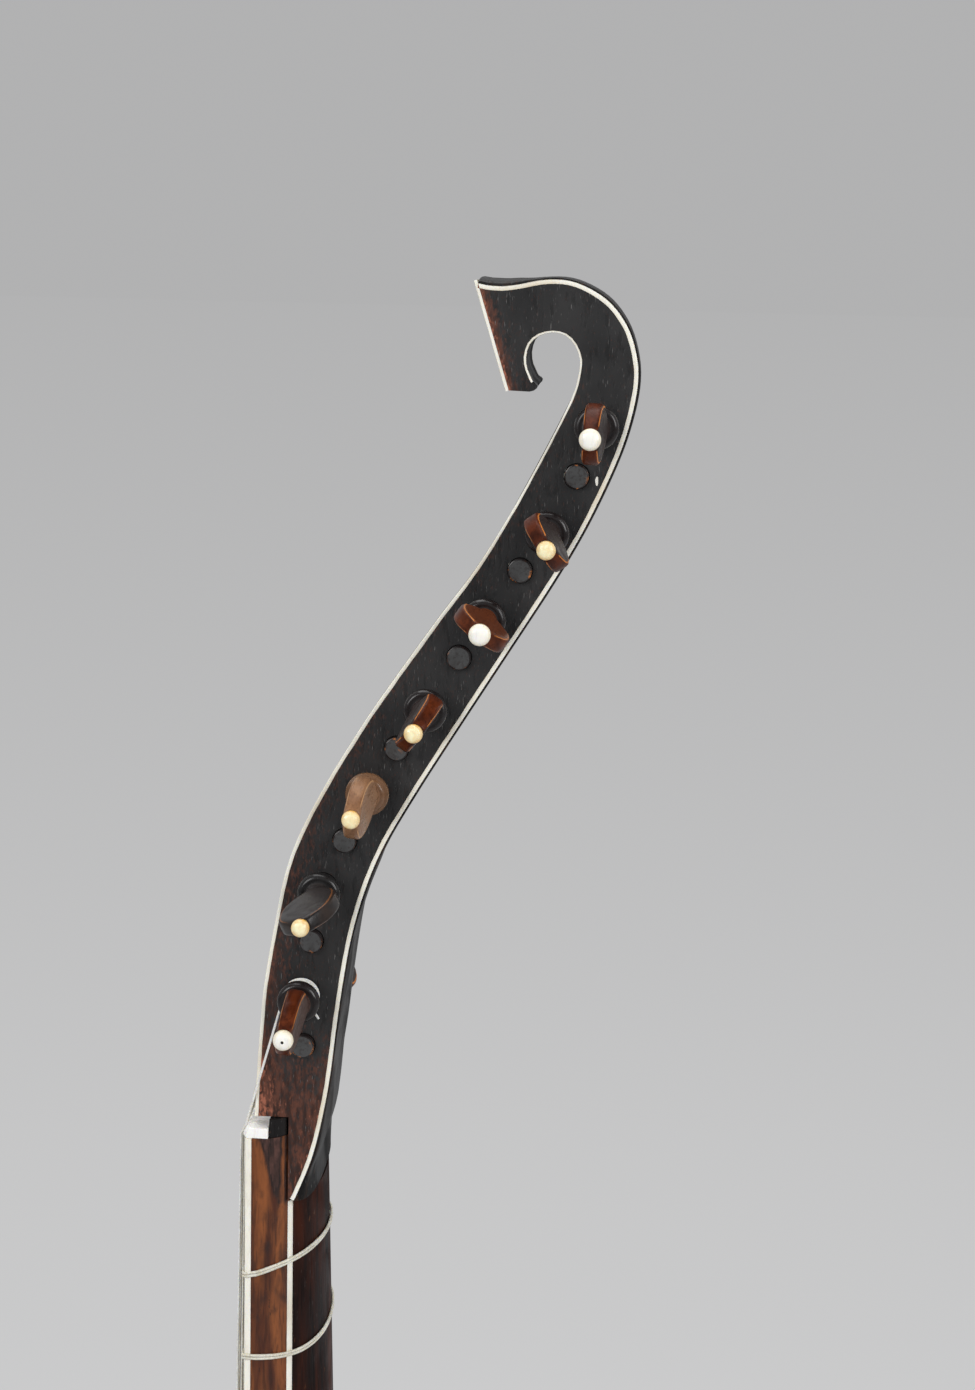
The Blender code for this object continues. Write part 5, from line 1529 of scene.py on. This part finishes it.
@dataclass
class Neck:
    """Neck with its inlaid lines, fingerboard, nut and tied frets."""

    joint_h: float
    half_nut: float = 25.6
    half_body: float = 30.5
    depth_nut: float = 16.8
    depth_body: float = 22.6
    round_nut: float = 2.4
    round_body: float = 2.0
    board_thickness: float = 1.6
    edging: float = 1.5
    line_width: float = 1.3
    line_inlay: float = 1.1
    seam: float = 0.06
    nut_half: float = 25.2
    nut_proud: float = 0.9
    nut_slope: float = 1.8
    nut_depth: float = 5.7
    fret_radius: float = 0.36
    fret_gap: float = 0.04
    strand_shift: float = 0.38
    cents: tuple[float, ...] = (117.1, 193.2, 310.3, 386.3, 503.4, 579.5, 696.6, 813.7)
    rises: tuple[float, ...] = (3.4, -0.8, 0.9, -0.5, 0.7, 0.3, -0.6, 0.5)

    def __post_init__(self) -> None:
        """Find the height of the neck's end under the nut."""
        self.top_h = NUT_FRONT_H - self.seam

    def size(self, h: float) -> Point:
        """Size of the neck at a height.

        Args:
            h: the height.

        Returns:
            The three values.
        """
        share = (NUT_FRONT_H - h) / (NUT_FRONT_H - self.joint_h)
        return (self.half_nut + (self.half_body - self.half_nut) * share,
                self.depth_nut + (self.depth_body - self.depth_nut) * share,
                self.round_nut + (self.round_body - self.round_nut) * share)

    def width_at(self, h: float, d: float) -> float:
        """Half width at a height and depth."""
        half, depth, power = self.size(h)
        return half * max(0.0, 1.0 - (max(d, 0.0) / depth) ** power) ** (1.0 / power)

    def arc(self, h: float, first: float, steps: int, away: float = 0.0) -> Line:
        """Points round the back of the neck.

        Args:
            h: height.
            first: depth at which the arc starts and ends.
            steps: number of steps from side to side.
            away: distance from the neck's surface.

        Returns:
            The points as (x, d).
        """
        half, depth, power = self.size(h)
        start = math.asin(min(1.0, (first / depth) ** (0.5 * power)))
        points = []
        for k in range(steps + 1):
            angle = start + (math.pi - 2.0 * start) * k / steps
            across = math.copysign(abs(math.cos(angle)) ** (2.0 / power), math.cos(angle))
            points.append(((half + away) * across, (depth + away) * math.sin(angle) ** (2.0 / power)))
        return points

    def stained(self, d: float, h: float) -> float:
        """How dark a place on the neck's side is: a slanting stain under the nut.

        Args:
            d: its depth.
            h: its height.

        Returns:
            The stain, from 0 to 1.
        """
        fall = NUT_FRONT_H - h
        blot = clamp((d - 3.2 - 0.24 * fall) / 0.8) * clamp((9.6 - d) / 1.2, 0.3)
        seam = math.exp(-((d - 9.9) / 0.5) ** 2)
        fade = clamp((24.0 - fall) / 9.0)
        smoky = 0.42 * clamp((fall - 22.0) / 6.0) * clamp((62.0 - fall) / 20.0)
        streaks = 0.12 + 0.12 * math.sin(0.11 * fall) ** 2
        return max(streaks, 0.95 * blot * fade, 0.9 * seam * fade, smoky)

    def veneer(self) -> None:
        """The front part with its streaked side veneer, and the dark rounded back."""
        low = SPLICE_DEPTH + 0.15
        depths = np.linspace(self.board_thickness + self.seam, low, 18)
        rows, wear = [], []
        for h in (*np.linspace(self.joint_h, -42.0, 50), *np.linspace(-41.0, self.top_h, 40)):
            section = both([(self.width_at(h, d), d) for d in depths])
            rows.append(level(section, h))
            wear.append([self.stained(d, h) for _, d in section])
        front = Shape()
        front.skin(rows, wear)
        rows = []
        for h in (self.top_h, NUT_FRONT_H + 2.0, -0.9, -0.35):
            inset = 0.47 if h > -1.0 else 0.35
            rows.append(level(both([(self.width_at(min(h, NUT_FRONT_H), d) - inset, d)
                                    for d in np.linspace(self.nut_depth + 0.2, low - 0.4, 4)]), h))
        front.skin(rows, slot=1)
        front.build("neck_front", "neck_wood", "neck_veneer", "dark_back", node="neck", angle=40.0)
        first = SPLICE_DEPTH + GAP + self.line_width + 0.05
        low += PLAY
        rows = []
        for h in np.linspace(self.joint_h, SPLICE_H, 50):
            inner = self.width_at(h, low) - self.line_inlay - 0.1
            rows.append(level([(inner, low), (inner, first), *self.arc(h, first, 40),
                               (-inner, first), (-inner, low)], h))
        back = Shape()
        back.skin(rows, 0.05)
        back.build("neck_back", "neck_wood", "neck_back_wood", node="neck", angle=40.0)

    def lines(self) -> None:
        """Bone side lines and fingerboard edgings on both sides."""
        near = SPLICE_DEPTH + 0.2
        far = near + self.line_width
        soft = 0.25
        for side, word in ((1, "treble"), (-1, "bass")):
            rows, wear = [], []
            for h in np.linspace(self.joint_h, SPLICE_H, 40):
                upper, lower = self.width_at(h, near), self.width_at(h, far)
                rows.append([place(side * x, d, h) for x, d in (
                    (upper, near), (0.5 * (upper + lower) + PLAY, 0.5 * (near + far)), (lower, far),
                    (lower - self.line_inlay, far), (upper - self.line_inlay, near))])
                wear.append([0.06 + 0.5 * math.sin(0.09 * h) ** 12] * 5)
            line = Shape()
            line.skin(rows, wear)
            line.build(f"side_line_{word}", "bone", "bone", angle=50.0)
            rows = []
            for h in np.linspace(self.joint_h, self.top_h, 60):
                half = self.size(h)[0]
                rows.append([place(side * x, d, h) for x, d in (
                    (half, self.board_thickness), (half, soft), (half - 0.3 * soft, 0.3 * soft),
                    (half - soft, 0.0), (half - self.edging, 0.0),
                    (half - self.edging, self.board_thickness))])
            edging = Shape()
            edging.skin(rows, 0.08)
            edging.build(f"edging_{word}", "bone", "bone", angle=50.0)

    def fingerboard(self) -> None:
        """The black fingerboard between its edgings."""
        rows, wear = [], []
        for k, h in enumerate(np.linspace(self.joint_h, self.top_h, 40)):
            half = self.size(h)[0] - self.edging - 0.04
            section = [(half - 2.0 * half * j / 16, PLAY) for j in range(17)]
            section += [(-half, self.board_thickness), (half, self.board_thickness)]
            rows.append(level(section, h))
            wear.append([0.25 + 0.2 * math.sin(0.8 * k)] * len(section))
        shape = Shape()
        shape.skin(rows, wear)
        shape.build("fingerboard", "ebony", "black_fingerboard", angle=40.0)

    def nut(self) -> None:
        """The nut, rounded over and sloped at its ends."""
        high = NUT_FRONT_H + NUT_THICKNESS
        rows = []
        for k in range(121):
            x = self.nut_half * (2.0 * k / 120 - 1.0)
            end = max(0.0, abs(x) - (self.nut_half - self.nut_slope)) / self.nut_slope
            front = -self.nut_proud * (1.0 - end)
            rows.append(slice_at(x, [
                (front + 0.35, NUT_FRONT_H), (front + 0.10, NUT_FRONT_H + 0.2),
                (front + 0.06, NUT_FRONT_H + 0.6), (front + 0.3, 0.5 * (NUT_FRONT_H + high)),
                (front + 0.75, high - 0.45), (front + NUT_FALL, high), (self.nut_depth, high),
                (self.nut_depth, NUT_FRONT_H)]))
        shape = Shape()
        shape.skin(rows, 0.05)
        rounding = shape.build("nut", "bone", "nut_bone").modifiers.new("Round", "BEVEL")
        rounding.width = 0.18 * MM
        rounding.segments = 2
        rounding.limit_method = "ANGLE"
        rounding.angle_limit = math.radians(38.0)

    def frets(self) -> None:
        """Each fret is a doubled strand of gut, tied round the neck at its own slant."""
        reach = self.fret_radius + self.fret_gap
        bend = reach * math.sqrt(0.5)
        for number, (cents, rise) in enumerate(zip(self.cents, self.rises), 1):
            h = NUT_FRONT_H - STRING_LENGTH * (1.0 - 2.0 ** (-cents / 1200.0))
            half = self.size(h)[0]
            corner = [(half - 1.2, -reach), (half - 0.2, -reach), (half + bend, -bend),
                      (half + reach, 0.4)]
            arc = self.arc(h, 1.4, 44, reach)[1:-1]
            shape = Shape()
            for shift in (-self.strand_shift, self.strand_shift):
                loop = [place(x, d, h + shift) for x, d in corner]
                for k, (x, d) in enumerate(arc):
                    lift = (rise * math.sin(math.pi * ((k + 1) / (len(arc) + 1)) ** 0.66) ** 1.6
                            + 0.07 * math.sin(0.5 * k + shift))
                    loop.append(place(x, d, h + shift + lift))
                loop += [place(-x, d, h + shift) for x, d in reversed(corner)]
                shape.tube(loop, self.fret_radius, 10, True)
            shape.build(f"fret_{number}", "gut", "gut", angle=60.0)

    def make(self) -> None:
        """Build every piece of the neck."""
        self.veneer()
        self.lines()
        self.fingerboard()
        self.nut()
        self.frets()


# Body

@dataclass
class Body:
    """Ribbed bowl, soundboard, rose, bridge, end clasp, blocks and strap button."""

    joint_h: float
    neck_half: float = 30.5
    neck_depth: float = 22.6
    length: float = 392.0
    half_width: float = 132.0
    widest_t: float = 250.0
    depth_ratio: float = 0.9
    deep_t: float = 150.0
    ribs: int = 11
    rib_thickness: float = 1.6
    rib_line: float = 0.9
    rib_sink: float = 0.22
    rib_bulge: float = 0.28
    board: float = 1.8
    rose_t: float = 132.0
    rose_radius: float = 36.0
    bridge_half: float = 55.0
    bridge_wing: float = 14.0
    bridge_width: float = 11.0
    bridge_height: float = 8.6
    clasp_half: float = 104.0
    clasp_middle: float = 30.0
    clasp_end: float = 14.0
    clasp_thickness: float = 1.5
    button_depth: float = 14.0

    def at(self, x: float, d: float, t: float) -> Point:
        """Place of a point given by its distance below the neck joint."""
        return place(x, d, self.joint_h - t)

    def layer(self, d: float) -> Put:
        """What places the points of a layer at one depth."""
        return lambda x, t: self.at(x, d, t)

    def section(self, t: float) -> Pair:
        """Size of the bowl at a distance.

        Args:
            t: distance below the neck joint.

        Returns:
            Its half width and depth.
        """
        if t <= self.widest_t:
            half = self.neck_half + (self.half_width - self.neck_half) * math.sin(
                0.5 * math.pi * t / self.widest_t)
        else:
            along = min(1.0, (t - self.widest_t) / (self.length - self.widest_t))
            half = self.half_width * math.sqrt(max(0.0, 1.0 - along * along))
        start = self.neck_depth / self.neck_half
        blend = min(1.0, t / self.deep_t)
        return half, half * (start + (self.depth_ratio - start) * blend * blend * (3.0 - 2.0 * blend))

    def stations(self, end_angle: float) -> list[float]:
        """Distances of the bowl's sections, closer together round the tail.

        Args:
            end_angle: angle round the tail at which they end, in degrees.

        Returns:
            The distances.
        """
        reach = self.length - self.widest_t
        return [*np.linspace(0.1, self.widest_t, 42),
                *(self.widest_t + reach * math.sin(math.radians(a))
                  for a in np.linspace(2.0, end_angle, 34))]

    def bowl(self) -> None:
        """The bowl: ribs of varied shade with bone lines between them."""
        shape = Shape()
        stations = self.stations(84.0)

        def strip(ends: tuple[Pair, Pair], steps: int, slot: int, tone: float, bulge: float) -> None:
            """Lay a strip along the bowl.

            Args:
                ends: a share round the bowl and a shift in millimetres for either edge.
                steps: faces across.
                slot: material slot.
                tone: shade.
                bulge: how far its edges lie below its middle.
            """
            rows = []
            for t in stations:
                half, depth = self.section(t)
                start = math.asin(min(1.0, (self.board + 0.08) / depth))
                one, two = (start + (math.pi - 2.0 * start) * share + shift / max(half, 2.0)
                            for share, shift in ends)
                row = []
                for k in range(steps + 1):
                    share = k / steps
                    angle = one + (two - one) * share
                    sink = self.rib_sink + bulge * (1.0 - math.sin(math.pi * share))
                    row.append(self.at((half - sink) * math.cos(angle),
                                       (depth - sink) * math.sin(angle), t))
                rows.append(row)
            shape.skin(rows, slot=slot, tone=tone, closed=False)

        shades = np.random.default_rng(7).uniform(0.1, 0.9, self.ribs)
        half_line = 0.5 * self.rib_line
        for rib in range(self.ribs):
            low = half_line if rib > 0 else 0.0
            high = -half_line if rib < self.ribs - 1 else 0.0
            share = rib / self.ribs
            strip(((share, low), ((rib + 1) / self.ribs, high)), 10, 0, float(shades[rib]),
                  self.rib_bulge)
            if rib > 0:
                strip(((share, -half_line), (share, half_line)), 2, 1, 0.5, 0.0)
        made = shape.build("bowl", "rib_wood", "rib_wood", "bone", angle=30.0)
        wall = made.modifiers.new("Wall", "SOLIDIFY")
        wall.thickness = self.rib_thickness * MM
        wall.offset = -1.0

    def outline(self, inset: float) -> Line:
        """Edge of the soundboard, moved in.

        Args:
            inset: how far it is moved in.

        Returns:
            Its points as (x, t), as many at any inset.
        """
        side = []
        for t in self.stations(86.0):
            half = self.section(t)[0]
            slope = (self.section(t + 0.5)[0] - half) / 0.5
            size = math.hypot(1.0, slope)
            side.append((half - inset / size, t + inset * slope / size if t > 1.0 else t))
        return side + [(0.0, self.length - inset - 0.05)] + [(-x, t) for x, t in reversed(side)]

    def soundboard(self) -> None:
        """Spruce soundboard with a black and bone edge."""
        shape = Shape()
        shape.plate(self.outline(2.6), [ring(0.0, self.rose_t, self.rose_radius + 0.1, 72)],
                    self.layer(0.03), self.layer(self.board), 9.0)
        shape.build("soundboard", "spruce", "soundboard_spruce", angle=40.0)
        for word, outside, within, material in (("bone", 0.05, 1.1, "bone"),
                                                ("black", 1.12, 1.85, "black_fingerboard"),
                                                ("line", 1.87, 2.58, "bone")):
            strip = Shape()
            strip.skin([[self.at(x, d, t) for (x, t), d in (
                (outer, PLAY), (outer, self.board), (inner, self.board), (inner, PLAY))]
                for outer, inner in zip(self.outline(outside), self.outline(within))], 0.1)
            strip.build(f"soundboard_edge_{word}", "bone", material, node="soundboard", angle=50.0)

    def petals(self, reach: float, count: int, length: float, width: float) -> list[Line]:
        """A ring of pointed oval openings in the rose.

        Args:
            reach: distance of their middles from the rose's middle.
            count: how many.
            length: length of each.
            width: width of each.

        Returns:
            A loop for each.
        """
        loops = []
        for cosine, sine in around(1.0, count, 0.0):
            loop = []
            for u, v in around(1.0, 16, 0.0):
                along = reach + 0.5 * length * u
                across = 0.5 * width * v * (1.0 - 0.35 * u ** 2)
                loop.append((along * cosine - across * sine,
                             self.rose_t + along * sine + across * cosine))
            loops.append(loop)
        return loops

    def rose(self) -> None:
        """A pierced roundel of petals and round holes with two rings of carved beads."""
        holes = [ring(0.0, self.rose_t, 2.4, 20), *self.petals(9.2, 8, 8.6, 4.6)]
        holes += [ring(x, self.rose_t + t, 1.9, 16) for x, t in around(15.8, 8)]
        holes += self.petals(22.6, 16, 9.4, 4.8)
        holes += [ring(x, self.rose_t + t, 1.5, 14) for x, t in around(28.4, 16)]
        shape = Shape()
        shape.plate(ring(0.0, self.rose_t, self.rose_radius - 0.1, 72), holes, self.layer(0.25),
                    self.layer(1.5))
        shape.build("rose", "spruce", "soundboard_spruce", angle=30.0)
        tree = bead_ring_tree()
        for word, count, radius, size in (("outer", 72, 32.9, 1.05), ("inner", 36, 18.6, 0.62)):
            beads = bake_nodes(f"rose_{word}_beads", tree, {
                "Count": count, "Ring Radius": radius * MM, "Bead Length": size * MM,
                "Bead Width": 0.42 * MM, "Centre": self.at(0.0, 0.32, self.rose_t)},
                "soundboard_spruce")
            settle(beads, ROOT, "rose")

    def bridge(self) -> None:
        """A bridge with pointed wings."""
        middle = NUT_FRONT_H - STRING_LENGTH - 0.3 - 0.5 * self.bridge_width
        base = -0.3
        rows = []
        for k in range(121):
            x = (self.bridge_half + self.bridge_wing) * (2.0 * k / 120 - 1.0)
            share = max(0.0, abs(x) - self.bridge_half) / self.bridge_wing
            ease = min(1.0, share * 4.0)
            height = self.bridge_height * (1 - ease) + (2.4 * (1 - share) + 1.2 * share) * ease
            width = self.bridge_width * (1 - ease) + (8.0 * (1 - share) + 2.0 * share) * ease
            rows.append(slice_at(x, [(base - up * height, middle + along * width) for up, along in (
                (0.0, -0.5), (0.0, 0.5), (0.75, 0.5), (0.93, 0.44), (1.0, 0.3), (1.0, 0.0),
                (0.92, -0.3), (0.6, -0.45))]))
        shape = Shape()
        shape.skin(rows, 0.05)
        shape.build("bridge", "ebony", "black_fingerboard")

    def clasp(self) -> None:
        """The end clasp, a thin strip on the tail's curve with a curved upper edge."""
        deep = self.depth_ratio * self.half_width
        reach = self.length - self.widest_t
        rows = []
        for k in range(81):
            share = 2.0 * k / 80 - 1.0
            x = self.clasp_half * share
            depth = self.clasp_middle + (self.clasp_end - self.clasp_middle) * share * share
            row = []
            for offset, order in ((0.35, range(9)), (0.45 + self.clasp_thickness, range(8, -1, -1))):
                size = math.sqrt(1.0 - (x / (self.half_width + offset)) ** 2)
                for part in order:
                    d = 2.2 + (depth - 2.4) * part / 8
                    cosine = math.sqrt(max(0.0, 1.0 - (d / ((deep + offset) * size)) ** 2))
                    row.append(self.at(x, d, self.widest_t + (reach + offset) * size * cosine))
            rows.append(row)
        shape = Shape()
        shape.skin(rows, 0.05)
        shape.build("end_clasp", "ebony", "black_fingerboard")

    def button(self) -> None:
        """The turned strap button."""
        end = -LAYOUT.foot_z
        profile = [(27.0, 2.4), (11.0, 2.5), (11.0, 3.9), (10.5, 4.0), (9.6, 3.9), (8.6, 3.5),
                   (7.0, 3.35), (5.8, 3.6), (4.6, 5.0), (3.4, 6.2), (2.6, 6.45), (1.7, 6.4),
                   (0.8, 5.9), (0.25, 5.2), (0.02, 4.2)]
        shape = Shape()
        shape.skin([level(ring(0.0, self.button_depth, radius, 48), end + up)
                    for up, radius in profile])
        shape.build("strap_button", "bone", "bone", angle=50.0)

    def make(self) -> None:
        """Build every piece of the body; the hidden blocks keep their solids and get their wood."""
        self.bowl()
        self.soundboard()
        self.rose()
        self.bridge()
        self.clasp()
        self.button()
        for node in ("neck_block", "tail_block"):
            materials = frame["nodes"][node].data.materials
            materials.clear()
            materials.append(MATERIALS["inner_wood"])


# Studio

def faced(at: Point, run: Vector, roll: float = 0.0) -> Matrix:
    """Placement of a lamp or camera at a place, looking along run and rolled by some degrees."""
    turn = run.normalized().to_track_quat("-Z", "Y").to_matrix().to_4x4()
    return Matrix.Translation(at) @ turn @ Matrix.Rotation(math.radians(roll), 4, "Z")


@dataclass
class Studio:
    """Pale floor, soft light and the camera."""

    focal_px: float = 2230.0
    picture_height_px: float = 1390.0
    sensor: float = 36.0
    camera_spot: Point = (547.5, 89.4, 212.43)
    forward: Point = (-0.979686, -0.058225, -0.191900)
    roll_degrees: float = 1.2467
    floor_half: float = 40.0
    # low_grey is the floor's painted glow near the object; high_grey is the backdrop grey
    low_grey: Point = (0.634, 0.634, 0.638)
    high_grey: Point = (0.443, 0.443, 0.446)

    def camera(self) -> None:
        """Set the camera where the photograph was taken from."""
        data = bpy.data.cameras.new("camera")
        data.sensor_fit = "AUTO"
        data.sensor_width = self.sensor
        data.lens = self.focal_px / self.picture_height_px * self.sensor
        data.clip_start = 0.01
        data.dof.use_dof = False
        made = show("camera", data)
        made.matrix_world = faced(place(*self.camera_spot), Vector(self.forward), self.roll_degrees)
        bpy.context.scene.camera = made

    def floor(self) -> None:
        """A wide pale floor that takes the object's shadow, with a painted glow that is brightest near
        the object and fades into the backdrop.
        """
        material, s, shader = start_material("floor")
        spot = s.spot()
        away = s.node("ShaderNodeVectorMath", {0: spot}, operation="LENGTH").outputs["Value"]
        near = s.math("DIVIDE", 1.15, s.math("ADD", away, 0.25), True)
        cloth = s.times(s.noise(spot, 40.0, 4.0), 0.05)
        s.put(s.mix(cloth, (0.50, 0.50, 0.505), (0.44, 0.44, 0.445)), shader.inputs["Base Color"])
        s.put(0.9, shader.inputs["Roughness"])
        s.put(0.1, shader.inputs["Specular IOR Level"])
        # painted light: the camera sees an emission, low_grey near the object fading to high_grey far
        # off
        seen = s.node("ShaderNodeEmission", {"Color": s.mix(near, self.high_grey, self.low_grey)})
        ray = s.node("ShaderNodeLightPath").outputs["Is Camera Ray"]
        amount = s.times(ray, s.span(away, 0.5, 1.6, 0.72, 1.0))
        blend = s.node("ShaderNodeMixShader", {0: amount, 1: shader, 2: seen})
        s.put(blend, material.node_tree.nodes["Material Output"].inputs["Surface"])
        mesh = bpy.data.meshes.new("floor")
        corners = [(u * self.floor_half, v * self.floor_half, 0.0)
                   for u, v in ((-1, -1), (1, -1), (1, 1), (-1, 1))]
        mesh.from_pydata(corners, [], [(0, 1, 2, 3)])
        mesh.materials.append(material)
        show("floor_finished", mesh)

    def world(self) -> None:
        """Even light from all round, with the backdrop's grey for what the camera sees."""
        world = bpy.data.worlds.new("studio")
        bpy.context.scene.world = world
        world.use_nodes = True
        s = Sketch(world.node_tree)
        light = world.node_tree.nodes["Background"]
        s.put((0.96, 0.98, 1.0), light.inputs["Color"])
        s.put(0.46, light.inputs["Strength"])
        seen = s.node("ShaderNodeBackground", {"Color": self.high_grey})
        ray = s.node("ShaderNodeLightPath").outputs["Is Camera Ray"]
        blend = s.node("ShaderNodeMixShader", {0: ray, 1: light, 2: seen})
        s.put(blend, world.node_tree.nodes["World Output"].inputs["Surface"])

    def lamps(self) -> None:
        """Three square soft boxes, each with its place, size in metres and power in watts."""
        middle = Vector((0.0, 0.02, 0.55))
        for name, at, size, power in (("soft_left", (1.7, -1.5, 1.7), 1.3, 29.0),
                                      ("soft_right", (1.1, 1.8, 1.5), 1.2, 27.0),
                                      ("soft_top", (-0.6, 0.0, 2.6), 1.8, 24.0)):
            data = bpy.data.lights.new(name, "AREA")
            data.shape = "SQUARE"
            data.size = size
            data.energy = power
            show(name, data).matrix_world = faced(at, middle - Vector(at))

    def make(self) -> None:
        """Set up the whole studio."""
        self.camera()
        self.floor()
        self.world()
        self.lamps()
        bpy.context.scene.view_settings.view_transform = "Standard"


def main() -> None:
    """Build the studio and every sub-assembly in order."""
    logging.basicConfig(level=logging.INFO, format="%(name)s: %(message)s")
    Studio().make()
    pegbox = Pegbox()
    peg_set = PegSet(pegbox)
    pegbox.make(peg_set.holes())
    for peg in peg_set.pegs:
        peg.make()
    joint_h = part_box("fingerboard")[0][2] / MM - LAYOUT.foot_z
    Neck(joint_h).make()
    Strings(peg_set.pegs).make()
    Body(joint_h).make()


if __name__ == "__main__":
    main()
